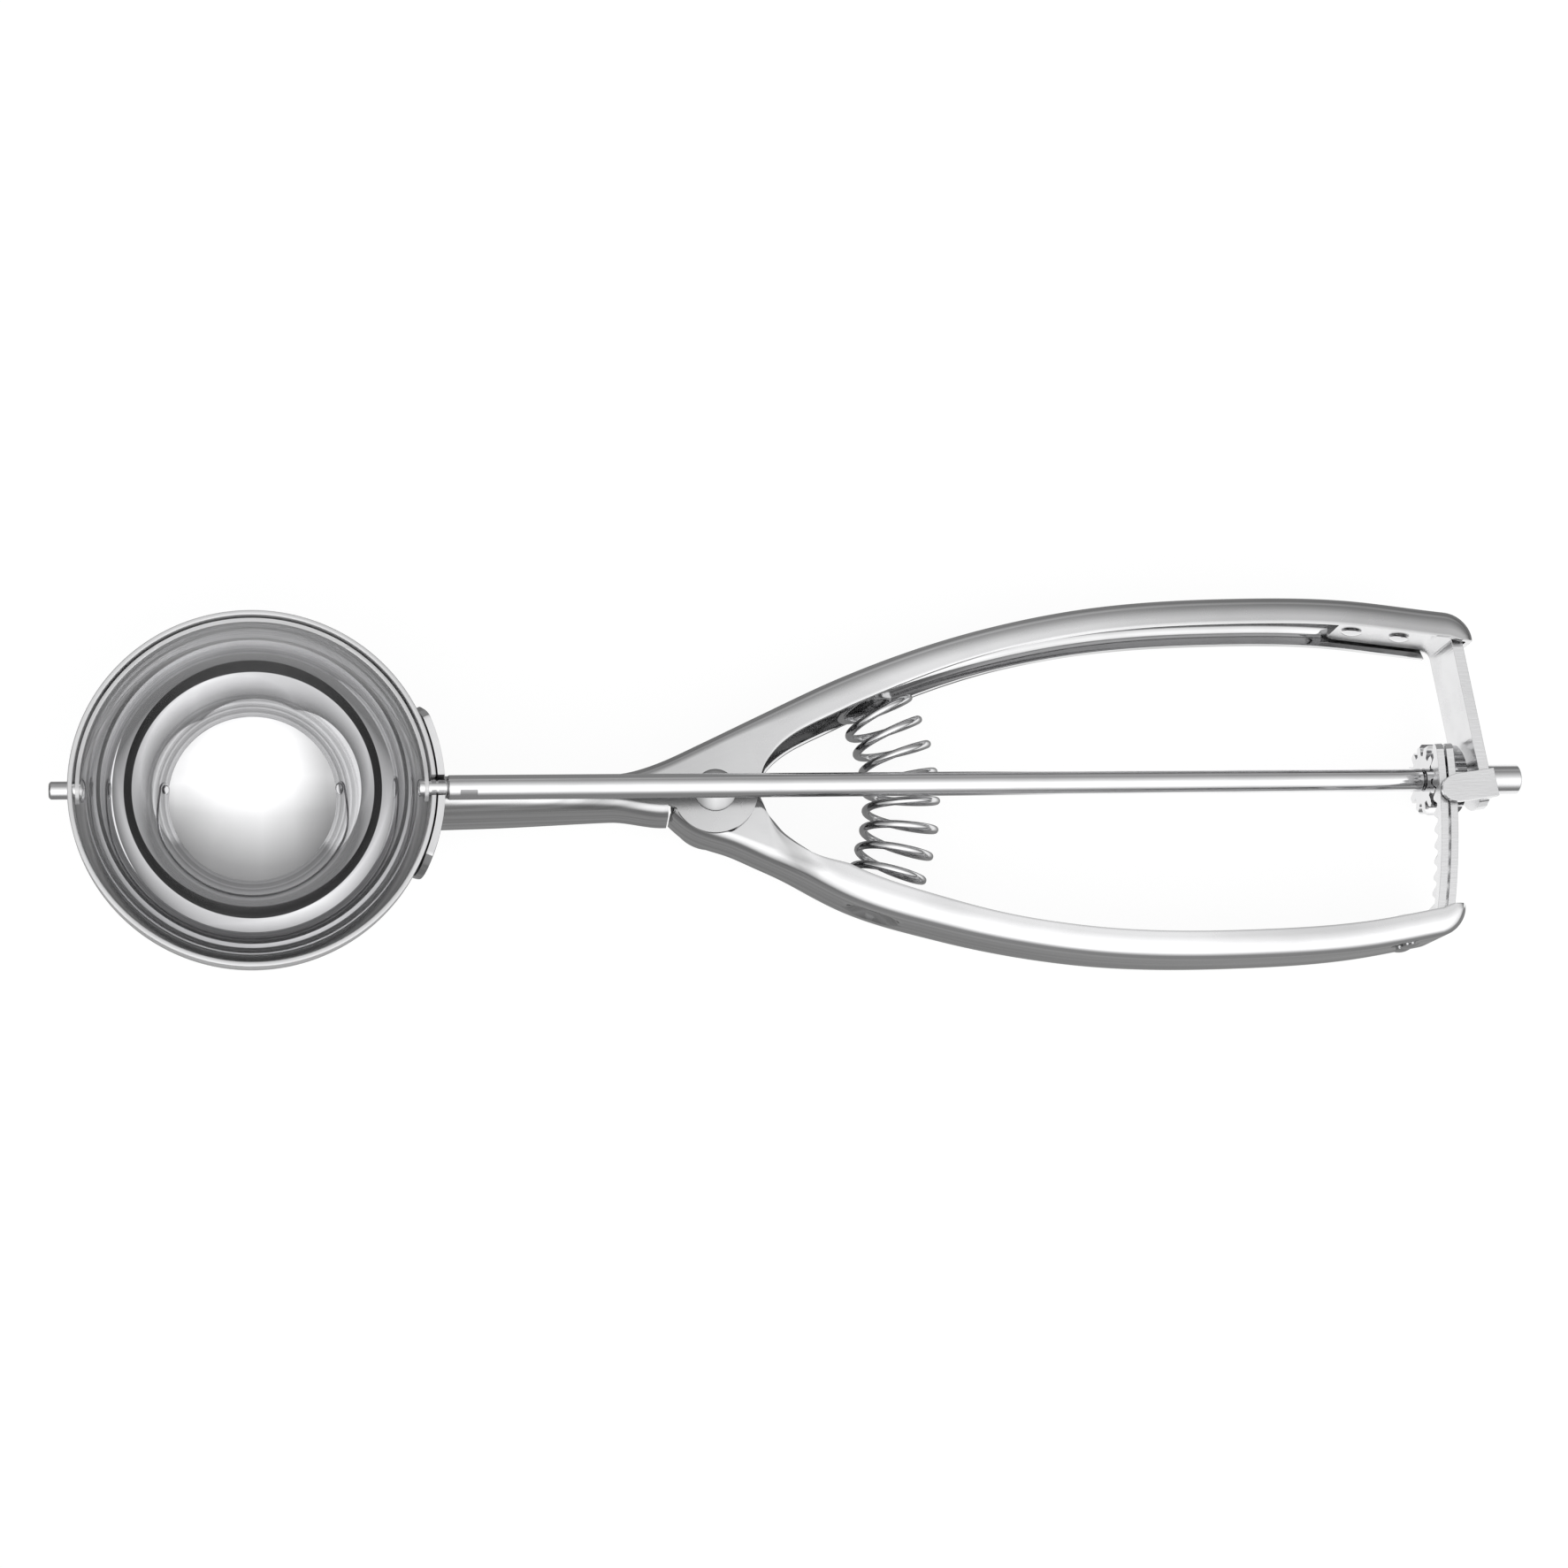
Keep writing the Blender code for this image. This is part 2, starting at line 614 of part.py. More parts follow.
def spring_boss(lever, web):
    """A round boss pressed into the web, which the spring's end coil sits round."""
    spot, inward = web.face(PIVOT_X + SPRING_FROM_PIVOT)
    face, inward = Vector((*spot, MID_Z)), Vector((*inward, 0))
    depth, soft = SHEET + BOSS_HEIGHT, 0.4 * BOSS_HEIGHT
    crown = [(depth - soft, BOSS_RADIUS), (depth - 0.25 * soft, BOSS_RADIUS - 0.8 * soft),
             (depth, BOSS_RADIUS - 2.2 * soft), (depth, 0)]
    crown = [(SHEET / 2, 0), (SHEET / 2, BOSS_RADIUS)] + crown
    boolean(lever, turned(f"join_{lever.name}_boss", crown, face, inward, 28, cutter=True), "UNION")
    dent, wide = 0.8 * BOSS_HEIGHT, BOSS_RADIUS - 0.7 * SHEET
    boolean(lever, turned(f"cut_{lever.name}_boss",
                          [(-2 * dent, 0), (-2 * dent, wide), (0, wide), (dent, wide - 2 * soft), (dent, 0)],
                          face, inward, 28, cutter=True))


# Bowl, blade and shaft


def bowl():
    """The bowl: a half sphere with a straight rim, a hole for the front pin and a notch for the shaft."""
    profile = []
    for radius, angles in ((BOWL_RADIUS, spaced(0, math.pi / 2, 14)),
                           (BOWL_RADIUS - BOWL_SHEET, spaced(math.pi / 2, 0, 14))):
        arc = [(-radius * math.cos(a), radius * math.sin(a)) for a in angles]
        arc[0 if angles[0] == 0 else -1] = (-radius, 0)
        rim = [(RIM_ABOVE_AXIS, radius)]
        profile += arc + rim if radius == BOWL_RADIUS else rim + arc
    body = turned("bowl", profile, shaft_point(0), MOUTH, 64)
    reach = 5 * MM
    boolean(body, round_cutter("cut_pin_hole", shaft_point(-BOWL_RADIUS - reach),
                               shaft_point(-BOWL_RADIUS + reach), JOURNAL_RADIUS + FIT))
    boolean(body, notch("cut_bowl_notch"))


def scraper_blade():
    """The blade: a spherical band under the rim, with an eye at each end for the pin and the shaft."""
    outer = BOWL_RADIUS - BOWL_SHEET - BLADE_CLEARANCE
    lobe = BLADE_LOBE / outer
    half = [-lobe * math.cos(math.radians(15 * k)) for k in range(6)]
    half += [math.radians(v) for v in (2, 6, 11, 17, 24, 33, 44, 56, 68, 79, 90)]
    top = RIM_ABOVE_AXIS - BLADE_BELOW_RIM
    grids = ([], [])
    for a in half + [math.pi - v for v in half[-2::-1]]:
        b = min(a, math.pi - a)
        if b < 0:
            high = max(math.sqrt(max(0.0, BLADE_LOBE ** 2 - (b * outer) ** 2)), 0.05 * BLADE_LOBE)
            low = -high
        else:
            high = BLADE_LOBE + (top - BLADE_LOBE) * smooth_step(b / math.radians(10))
            low = -BLADE_LOBE - (BLADE_DROP - BLADE_LOBE) * smooth_step(b / math.radians(34))
        for rows, radius in zip(grids, (outer, outer - BLADE_SHEET)):
            rows.append([shaft_point(math.sqrt(radius ** 2 - n ** 2) * math.cos(a),
                                     math.sqrt(radius ** 2 - n ** 2) * math.sin(a), n)
                         for n in spaced(low, high, 7)])
    blade = sheet("scraper_blade", *grids, origin=shaft_point(0))
    reach = 3 * MM
    for end, sign in (("front", -1), ("rear", 1)):
        boolean(blade, round_cutter(f"cut_blade_{end}", shaft_point(sign * (outer - reach)),
                                    shaft_point(sign * (outer + reach)), JOURNAL_RADIUS + FIT, 24))


def drive_shaft():
    """The shaft, with its journal in the bowl's notch, a crimp behind the bowl and a spigot in the hub."""
    start = BOWL_RADIUS - BOWL_SHEET - BLADE_CLEARANCE - BLADE_SHEET - JOURNAL_IN
    shoulder = BOWL_RADIUS + SADDLE_GAP + SHEET + GAP - start
    face = PINION_START - GAP - start
    end = HUB_END - HUB_WALL - start
    shaft = turned("drive_shaft", [(0, 0), (0, JOURNAL_RADIUS - CHAMFER), (CHAMFER, JOURNAL_RADIUS),
                                   (shoulder, JOURNAL_RADIUS), (shoulder, SHAFT_RADIUS - CHAMFER),
                                   (shoulder + CHAMFER, SHAFT_RADIUS), (face, SHAFT_RADIUS),
                                   (face, SPIGOT_RADIUS), (end, SPIGOT_RADIUS), (end, 0)],
                   shaft_point(start), AXIS, 28, origin=shaft_point(0))
    middle = shaft_point(BOWL_RADIUS + CRIMP_FROM_BOWL)
    for side, turn, half in (("lower", 50, 1.35 * MM), ("upper", 220, 1.0 * MM)):
        way = Matrix.Rotation(math.radians(turn), 3, AXIS) @ MOUTH
        across = AXIS.cross(way) * SHAFT_RADIUS
        rise = way * SHAFT_RADIUS
        base = middle + way * (2 * SHAFT_RADIUS - CRIMP_DEPTH)
        square = [across - rise, across + rise, -across + rise, -across - rise]
        boolean(shaft, prism(f"cut_crimp_{side}", square, base - AXIS * half, base + AXIS * half,
                             cutter=True))


def front_pin():
    """The pin at the bowl's front, riveted over inside the blade's eye."""
    start = BOWL_RADIUS - BOWL_SHEET - BLADE_CLEARANCE - BLADE_SHEET - GAP
    tip = start - PIN_TIP
    profile = [(tip, 0), (tip, JOURNAL_RADIUS - CHAMFER), (tip + CHAMFER, JOURNAL_RADIUS)]
    profile += [(0, JOURNAL_RADIUS)] + dome(PIN_HEAD_RADIUS, PIN_HEAD_HEIGHT)
    turned("front_pin", profile, shaft_point(-start), AXIS, 28, origin=shaft_point(0))


# Rack and pinion


def involute(angle):
    """The involute of an angle."""
    return math.tan(angle) - angle


def tooth_outline():
    """The pinion's outline as (radius, angle) pairs, with a tooth at angle 0."""
    base = PITCH_RADIUS * math.cos(PRESSURE)
    root = PITCH_RADIUS - TOOTH_DEDENDUM
    half = math.pi / (2 * TEETH) - BACKLASH / (4 * PITCH_RADIUS)
    flank = []
    for radius in spaced(max(base, root), TIP_RADIUS, 4):
        flank.append((radius, half + involute(PRESSURE) - involute(math.acos(min(1.0, base / radius)))))
    side = [(root, flank[0][1] + 0.02)] + flank
    outline = []
    for k in range(TEETH):
        middle = 2 * math.pi * k / TEETH
        outline += [(r, middle - a) for r, a in side] + [(TIP_RADIUS, middle)]
        outline += [(r, middle + a) for r, a in reversed(side)]
    return outline


def pinion():
    """The pinion with its hub, which runs in the bracket's bore and closes over the shaft's end."""
    outline = tooth_outline()
    count = len(outline)
    verts, faces = [], []
    for t, trim in ((PINION_START, PINION_CHAMFER), (PINION_START + PINION_CHAMFER, 0.0),
                    (PINION_END - PINION_CHAMFER / 2, 0.0), (PINION_END, PINION_CHAMFER / 2)):
        for radius, a in outline:
            r = min(radius, TIP_RADIUS - trim)
            verts.append(shaft_point(t, r * math.sin(a), r * math.cos(a)))
    for k in range(count):
        m = (k + 1) % count
        faces += [(ring + k, ring + m, ring + count + m, ring + count + k) for ring in (0, count, 2 * count)]
        faces += [(4 * count, m, k), (4 * count + 1, 3 * count + k, 3 * count + m)]
    verts += [shaft_point(PINION_START), shaft_point(PINION_END)]
    body = new_object("pinion", verts, faces, origin=shaft_point(0))
    inside = PINION_LENGTH / 3
    length = HUB_END - PINION_END + inside
    boolean(body, turned("join_hub", [(0, 0), (0, HUB_RADIUS), (length - HUB_CHAMFER, HUB_RADIUS),
                                      (length, HUB_RADIUS - HUB_CHAMFER), (length, 0)],
                         shaft_point(PINION_END - inside), AXIS, 24, cutter=True), "UNION")
    boolean(body, round_cutter("cut_pinion_bore", shaft_point(PINION_START - inside),
                               shaft_point(HUB_END - HUB_WALL + GAP), SPIGOT_RADIUS + FIT, 24))


def racks(web):
    """The two rack strips: arcs round the pivot, teeth down, feet bent onto the moving lever's web."""
    pitch_z = axis_height(REAR_X) + PITCH_RADIUS + MESH_RELIEF
    top = FLANGE_TOP - SHEET - 1.3 * GAP
    root_z, tip_z = pitch_z + TOOTH_DEDENDUM, pitch_z - TOOTH_ADDENDUM
    step = math.pi * MODULE / RACK_RADIUS
    thick = (math.pi * MODULE - BACKLASH) / 4
    tip_half = (thick - TOOTH_ADDENDUM * math.tan(PRESSURE)) / RACK_RADIUS
    root_half = min((thick + TOOTH_DEDENDUM * math.tan(PRESSURE)) / RACK_RADIUS, 0.49 * step)
    pieces = []
    for name, side, layer in (("rack_inner", -1, 1), ("rack_outer", 1, 0)):
        radius = RACK_RADIUS + side * (RACK_SHEET + RACK_GAP) / 2
        depth = SHEET + GAP + RACK_SHEET / 2 + layer * (RACK_SHEET + RACK_GAP)
        far = web.inside(REAR_X - RACK_FOOT_LENGTH, depth)
        near = web.inside(REAR_X - RACK_FOOT_LENGTH / 2, depth)
        corner = crossing(far, (near - far).normalized(), radius)
        angle = math.atan2(corner.y, corner.x - PIVOT_X)
        turn = bend(far, corner, on_arc(radius, angle + 0.03),
                    RACK_BEND + (1 - layer) * (RACK_SHEET + RACK_GAP))
        clear = math.atan2(turn[-1].y, turn[-1].x - PIVOT_X) + 0.010
        end = math.asin(RACK_END_Y / radius)
        path = [far, far.lerp(turn[0], 0.5)] + turn + [on_arc(radius, clear)]
        heights = [(top - RACK_FOOT, top)] * (len(path) - 1) + [(root_z, top)]
        k = math.ceil((clear + root_half) / step - 0.5)
        while (k + 0.5) * step + root_half < end:
            middle = (k + 0.5) * step
            path += [on_arc(radius, middle + a) for a in (-root_half, -tip_half, tip_half, root_half)]
            heights += [(root_z, top), (tip_z, top), (tip_z, top), (root_z, top)]
            k += 1
        last = (k - 0.5) * step + root_half
        for share, drop in ((0.5, 0.0), (0.85, 0.3), (1.0, 0.85)):
            path.append(on_arc(radius, last + (max(end, last + END_ROOM) - last) * share))
            heights.append((root_z + drop * 0.4 * MM, top - drop * MM))
        pieces.append(strip(name, path, RACK_SHEET, heights, finish="Brushed steel", origin=PIVOT))
    return pieces


def crossing(start, way, radius):
    """Where a straight run from a plan point meets an arc round the pivot."""
    off = start - Vector((PIVOT_X, 0))
    along = off.dot(way)
    return start + way * (math.sqrt(along ** 2 - off.length_squared + radius ** 2) - along)


# Bearing bracket


def bracket_way():
    """The plan direction of the bracket's leg, towards the fixed lever."""
    return Vector((-math.sin(BRACKET_ANGLE), math.cos(BRACKET_ANGLE)))


def bracket_point(y):
    """The plan point of the bracket leg's middle plane at y."""
    return Vector((BRACKET_X - y * math.tan(BRACKET_ANGLE), y))


def bearing_bracket(web):
    """The rear bearing: foot in the fixed lever's channel, leg with its bore, tab over the racks."""
    depth = SHEET + GAP + BRACKET_SHEET / 2
    far, near = web.inside(REAR_X - BRACKET_FOOT, depth), web.inside(REAR_X - BRACKET_FOOT / 5, depth)
    way, base = bracket_way(), bracket_point(0)
    lean = (near - far).normalized()
    off = base - far
    corner = far + lean * ((off.x * way.y - off.y * way.x) / (lean.x * way.y - lean.y * way.x))
    turn = bend(far, corner, base, BRACKET_BEND)
    low, high = FLANGE_BOTTOM + SHEET + BRACKET_INSET, FLANGE_TOP - SHEET - BRACKET_INSET
    path = [far, far + lean * BRACKET_INSET, far.lerp(turn[0], 0.5)] + turn
    path += [turn[-1].lerp(base, 0.5), base]
    heights = [(low + BRACKET_INSET, high - BRACKET_INSET)] + [(low, high)] * (len(path) - 1)
    middle, half = (low + high) / 2, (high - low) / 2
    for a in (math.radians(v) for v in (15, 30, 45, 60, 75, 86)):
        path.append(base - way * ((HUB_RADIUS + FIT + BRACKET_LIP) * math.sin(a)))
        heights.append((middle - half * math.cos(a), middle + half * math.cos(a)))
    body = strip("bearing_bracket", path, BRACKET_SHEET, heights, finish="Brushed steel")
    centre = Vector((BRACKET_X, 0, axis_height(BRACKET_X)))
    boolean(body, round_cutter("cut_bracket_bore", centre - AXIS * 4 * BRACKET_SHEET,
                               centre + AXIS * 4 * BRACKET_SHEET, HUB_RADIUS + FIT))

    normal = Vector((way.y, -way.x))
    tab_at = base - way * TAB_OFFSET
    rear = BRACKET_SHEET / 2
    nose = [(-TAB_LENGTH + TAB_HALF * 1.25 * (1 - math.sin(a)), TAB_HALF * math.cos(a))
            for a in spaced(0, math.pi, 11)]
    inset, narrow = rear - 0.4 * GAP, TAB_HALF - 0.8 * GAP
    stem = [(inset, narrow), (-inset, narrow), (-inset, -narrow), (inset, -narrow)]
    for name, outline, under, over in (
            ("join_tab_stem", stem, high - 2 * BRACKET_SHEET, FLANGE_TOP - TAB_SHEET / 2),
            ("join_tab", [(rear, TAB_HALF)] + nose + [(rear, -TAB_HALF)], FLANGE_TOP - TAB_SHEET,
             FLANGE_TOP)):
        points = [Vector((*(normal * u + way * v), 0)) for u, v in outline]
        boolean(body, prism(name, points, Vector((*tab_at, under)), Vector((*tab_at, over)), cutter=True),
                "UNION")
    return body


def small_rivets(name, web, x, z, grip, held, origin=None):
    """A small rivet through a lever's web at x and z, with its hole in each piece that it holds."""
    spot, inward = web.face(x)
    start, inward = Vector((*spot, z)), Vector((*inward, 0))
    rivet(name, start, inward, grip, SMALL_SHANK, SMALL_HEAD, SMALL_HEAD_HEIGHT, origin=origin)
    for body in held:
        boolean(body, round_cutter(f"cut_{name}_{body.name}", start - inward * 3 * MM,
                                   start + inward * (grip + 3 * MM), SMALL_SHANK + FIT, 16))


# Spring


def return_spring(fixed, moving):
    """The return spring: one coiled tube on a bulging line between the webs, a little closed at its ends."""
    radius = (SPRING_OUTER - SPRING_WIRE) / 2
    x = PIVOT_X + SPRING_FROM_PIVOT
    start, end = (web.inside(x, SHEET + GAP + SPRING_WIRE / 2) for web in (fixed, moving))
    line = [start.lerp(end, u) + Vector((SPRING_BULGE * math.sin(math.pi * u), 0))
            for u in spaced(0, 1, 401)]
    shares = spaced(0, 1, int(SPRING_TURNS * POINTS_PER_TURN) + 1)
    centres = resampled(line, [u - SPRING_CLOSING * math.sin(2 * math.pi * u) for u in shares])
    points = []
    for k, (u, centre) in enumerate(zip(shares, centres)):
        along = (centres[min(k + 1, len(centres) - 1)] - centres[max(k - 1, 0)]).normalized()
        out = Vector((-along.y, along.x, 0))
        angle = 2 * math.pi * SPRING_TURNS * u - math.pi / 2
        points.append(Vector((*centre, MID_Z)) + out * (radius * math.cos(angle))
                      + Vector((0, 0, radius * math.sin(angle))))
    least = min((p - q).length for k, p in enumerate(points) for q in points[k + POINTS_PER_TURN // 2:])
    print(f"return_spring: least gap to itself {(least - SPRING_WIRE) / MM:.2f} mm")

    curve = bpy.data.curves.new("return_spring", "CURVE")
    curve.dimensions = "3D"
    curve.bevel_depth = SPRING_WIRE / 2
    curve.bevel_resolution = 1
    curve.use_fill_caps = True
    wire = curve.splines.new("POLY")
    wire.points.add(len(points) - 1)
    origin = Vector((x, 0, MID_Z))
    for point, spot in zip(wire.points, points):
        point.co = (*(spot - origin), 1.0)
    wire.use_smooth = True
    curve.materials.append(material("Spring steel", "return_spring"))
    obj = bpy.data.objects.new("return_spring", curve)
    obj.location = origin + SHIFT
    bpy.context.scene.collection.objects.link(obj)


def main():
    """Builds every piece."""
    clear_scene()
    fixed_web = Web([(BOWL_RADIUS, NECK_HALF), (PIVOT_X - 3.2 * EAR_RADIUS, NECK_HALF + 0.15 * MM),
                     (PIVOT_X - 2.05 * EAR_RADIUS, NECK_HALF + 0.7 * MM),
                     (PIVOT_X - 1.33 * EAR_RADIUS, 0.71 * EAR_RADIUS),
                     (PIVOT_X - 0.32 * EAR_RADIUS, 1.145 * EAR_RADIUS),
                     (PIVOT_X + 0.99 * EAR_RADIUS, 1.74 * EAR_RADIUS)], 1)
    moving_web = Web([(PIVOT_X - 1.06 * EAR_RADIUS, 0.46 * EAR_RADIUS),
                      (PIVOT_X - 0.75 * EAR_RADIUS, 0.78 * EAR_RADIUS),
                      (PIVOT_X - 0.32 * EAR_RADIUS, 1.01 * EAR_RADIUS),
                      (PIVOT_X + 0.32 * EAR_RADIUS, 1.23 * EAR_RADIUS),
                      (PIVOT_X + 1.03 * EAR_RADIUS, 1.58 * EAR_RADIUS),
                      (PIVOT_X + 1.71 * EAR_RADIUS, 1.91 * EAR_RADIUS)], -1)
    fixed = fixed_lever(fixed_web)
    moving = moving_lever(moving_web)
    bowl()
    scraper_blade()
    drive_shaft()
    front_pin()
    pinion()
    spring_boss(fixed, fixed_web)
    spring_boss(moving, moving_web)
    rivet("pivot_rivet", Vector((PIVOT_X, 0, FLANGE_BOTTOM)), Vector((0, 0, 1)), CHANNEL_HEIGHT,
          RIVET_RADIUS, HEAD_RADIUS, HEAD_HEIGHT, 32, 5, origin=PIVOT)
    bracket = bearing_bracket(fixed_web)
    for name, share in (("bracket_rivet_front", 0.8), ("bracket_rivet_rear", 0.24)):
        small_rivets(name, fixed_web, REAR_X - share * BRACKET_FOOT, MID_Z, SHEET + GAP + BRACKET_SHEET,
                     (fixed, bracket))
    strips = racks(moving_web)
    top = FLANGE_TOP - SHEET - 1.3 * GAP
    for name, share in (("rack_rivet_upper", 0.26), ("rack_rivet_lower", 0.77)):
        small_rivets(name, moving_web, REAR_X - 0.78 * RACK_FOOT_LENGTH, top - share * RACK_FOOT,
                     SHEET + GAP + 2 * RACK_SHEET + RACK_GAP, (moving, *strips), PIVOT)
    return_spring(fixed_web, moving_web)
    settle()


main()
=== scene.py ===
"""Looks of the squeeze-handle ice cream scoop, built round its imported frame."""

import json
import logging
import math
from contextlib import contextmanager
from dataclasses import dataclass
from enum import Enum
from typing import Callable, Iterator, Sequence

import bmesh
import bpy
import numpy as np
from mathutils import Matrix, Vector


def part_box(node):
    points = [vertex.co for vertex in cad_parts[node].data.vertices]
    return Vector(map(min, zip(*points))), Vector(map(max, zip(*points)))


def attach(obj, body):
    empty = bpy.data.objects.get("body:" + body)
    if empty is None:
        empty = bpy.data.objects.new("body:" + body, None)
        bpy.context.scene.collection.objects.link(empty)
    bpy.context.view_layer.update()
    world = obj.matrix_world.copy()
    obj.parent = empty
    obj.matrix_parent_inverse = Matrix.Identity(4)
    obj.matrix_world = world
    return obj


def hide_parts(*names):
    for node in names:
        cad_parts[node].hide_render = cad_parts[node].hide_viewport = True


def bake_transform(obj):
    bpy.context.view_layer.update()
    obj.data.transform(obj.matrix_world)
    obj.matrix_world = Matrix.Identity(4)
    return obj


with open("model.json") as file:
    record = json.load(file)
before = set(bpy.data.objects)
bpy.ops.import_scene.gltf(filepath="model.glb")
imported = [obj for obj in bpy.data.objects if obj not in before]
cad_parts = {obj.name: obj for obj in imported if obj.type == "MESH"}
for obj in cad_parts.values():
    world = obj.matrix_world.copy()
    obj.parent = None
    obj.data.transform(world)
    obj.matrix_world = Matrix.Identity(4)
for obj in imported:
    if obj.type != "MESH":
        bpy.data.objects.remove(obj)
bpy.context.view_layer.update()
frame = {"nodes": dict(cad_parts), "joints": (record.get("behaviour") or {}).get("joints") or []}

MM = 0.001
GAP = 0.3 * MM
MERGE = 0.001 * MM
log = logging.getLogger("scoop")

Plan = tuple[float, float]
Station = tuple[Vector, Vector, Vector]
Dent = Callable[[float], float]
Value = "Sock | float | tuple[float, ...]"


class Steel(Enum):
    """The finishes of the scoop's steel, one of them a darker copy with painted shade for the pivot
    rivet.
    """

    HEADED = "shade_painted_head"
    SPUN = "spun"
    PRESSED = "pressed"
    DRAWN = "drawn"
    TURNED = "turned"
    SHEARED = "sheared"
    WIRE = "wire"


class Body(str, Enum):
    """The frame's bodies."""

    FRAME = "frame"
    LEVER = "squeeze_lever"
    SHAFT = "blade_shaft"


class Slot(str, Enum):
    """The record's material slots of the new pieces."""

    POLISHED = "polished_steel"
    TURNED = "turned_steel"
    SPRING = "spring_steel"


# Small tools


def smooth_step(u: float) -> float:
    """Eases from 0 to 1."""
    u = min(1.0, max(0.0, u))
    return u * u * (3 - 2 * u)


def mixed(a: float, b: float, u: float) -> float:
    """The value at the share u of the way from a to b."""
    return a + (b - a) * u


def spaced(start: float, end: float, count: int) -> list[float]:
    """Evenly spaced values, both ends included."""
    return [float(v) for v in np.linspace(start, end, count)]


# Lines that the pieces share


@dataclass(frozen=True)
class Layout:
    """Where the scoop's main lines lie, read from the frame's joints and boxes.

    Attributes:
        bowl: The centre of the bowl's sphere, on the shaft's axis.
        axis: The shaft's direction, from the bowl to the rear.
        pivot: A point on the levers' pivot.
        low: The height of the levers' lower faces.
        high: The height of their upper faces.
    """

    bowl: Vector
    axis: Vector
    pivot: Vector
    low: float
    high: float

    @classmethod
    def read(cls) -> "Layout":
        """Reads the layout from the frame.

        Returns:
            The layout.
        """
        joints = {j["name"]: j for j in frame["joints"]}
        spin, squeeze = joints["shaft_spin"], joints["lever_squeeze"]
        low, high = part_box("moving_lever")
        return cls(Vector(spin["pos_m"]), Vector(spin["axis"]).normalized(),
                   Vector(squeeze["pos_m"]), low.z, high.z)

    @property
    def mouth(self) -> Vector:
        """The direction that the bowl opens to."""
        return Vector((-self.axis.z, 0, self.axis.x))

    @property
    def middle(self) -> float:
        """The height of the levers' middle plane."""
        return (self.low + self.high) / 2

    def on_shaft(self, t: float, y: float = 0.0, n: float = 0.0) -> Vector:
        """The point t along the shaft, y across it and n towards the mouth."""
        return self.bowl + self.axis * t + Vector((0, y, 0)) + self.mouth * n

    def axis_height(self, x: float) -> float:
        """The height of the shaft's axis at x."""
        return self.bowl.z + (x - self.bowl.x) * self.axis.z / self.axis.x

    def round_pivot(self, radius: float, degrees: float) -> Vector:
        """The plan point at a radius and an angle round the pivot."""
        a = math.radians(degrees)
        return Vector((self.pivot.x + radius * math.cos(a), radius * math.sin(a)))


PLACE = Layout.read()


class PlanLine:
    """A smooth line in plan, y over x, through a few points.

    Attributes:
        STEP: How far apart its samples are.
        SOFT: The length over which its curvature is evened out.
        PASSES: How often that is done.
        ROOM: How far it runs on, straight, past its first and last point.
    """

    STEP = 0.1 * MM
    SOFT = 2.4 * MM
    PASSES = 3
    ROOM = 9.0 * MM

    def __init__(self, points: Sequence[Plan]) -> None:
        """Fits the line and rounds its changes of curvature.

        Args:
            points: The plan points, x rising.
        """
        xs, ys = np.array(points, float).T
        width, step = np.diff(xs), np.diff(ys) / np.diff(xs)
        inner = (step[1:] * width[:-1] + step[:-1] * width[1:]) / (xs[2:] - xs[:-2])
        inner = np.where(step[1:] * step[:-1] > 0, inner, 0.0)
        slope = np.concatenate([step[:1], inner, step[-1:]])
        self.x = np.arange(xs[0] - self.ROOM, xs[-1] + self.ROOM, self.STEP)
        i = np.clip(np.searchsorted(xs, self.x) - 1, 0, len(xs) - 2)
        u = np.clip((self.x - xs[i]) / width[i], 0, 1)
        y = ((2 * u ** 3 - 3 * u ** 2 + 1) * ys[i] + (u ** 3 - 2 * u ** 2 + u) * width[i] * slope[i]
             + (3 * u ** 2 - 2 * u ** 3) * ys[i + 1] + (u ** 3 - u ** 2) * width[i] * slope[i + 1])
        y += np.minimum(self.x - xs[0], 0) * slope[0] + np.maximum(self.x - xs[-1], 0) * slope[-1]
        box = np.ones(int(self.SOFT / self.STEP))
        for _ in range(self.PASSES):
            y = np.convolve(y, box / len(box), mode="same")
        self.y = y
        self.slope = np.gradient(y, self.STEP)

    def at(self, x: float) -> Plan:
        """The line's y and slope at x."""
        return float(np.interp(x, self.x, self.y)), float(np.interp(x, self.x, self.slope))


def flowing(points: Sequence[Plan | Vector], count: int, steps: int = 25) -> list[Vector]:
    """Evenly spaced points on a smooth line through plan points.

    Args:
        points: The plan points that the line passes.
        count: How many points are wanted.
        steps: How finely each stretch is drawn before it is measured.

    Returns:
        The spaced points.
    """
    pts = [Vector(p) for p in points]
    ends = [2 * pts[0] - pts[1]] + pts + [2 * pts[-1] - pts[-2]]
    fine = []
    for a, b, c, d in zip(ends, ends[1:], ends[2:], ends[3:]):
        for u in spaced(0, 1, steps)[:-1]:
            fine.append(0.5 * (2 * b + (c - a) * u + (2 * a - 5 * b + 4 * c - d) * u ** 2
                               + (3 * b - a - 3 * c + d) * u ** 3))
    fine.append(pts[-1])
    return resampled(fine, spaced(0, 1, count))


def resampled(line: Sequence[Vector], shares: Sequence[float]) -> list[Vector]:
    """Points at the given shares of a polyline's length.

    Args:
        line: The polyline's corners.
        shares: The shares, from 0 to 1.

    Returns:
        One point for each share.
    """
    run = np.concatenate([[0.0], np.cumsum([(b - a).length for a, b in zip(line, line[1:])])])
    out = []
    for share in shares:
        s = run[-1] * share
        i = int(np.clip(np.searchsorted(run, s, side="right") - 1, 0, len(line) - 2))
        out.append(line[i].lerp(line[i + 1], float((s - run[i]) / (run[i + 1] - run[i]))))
    return out


# Modelling


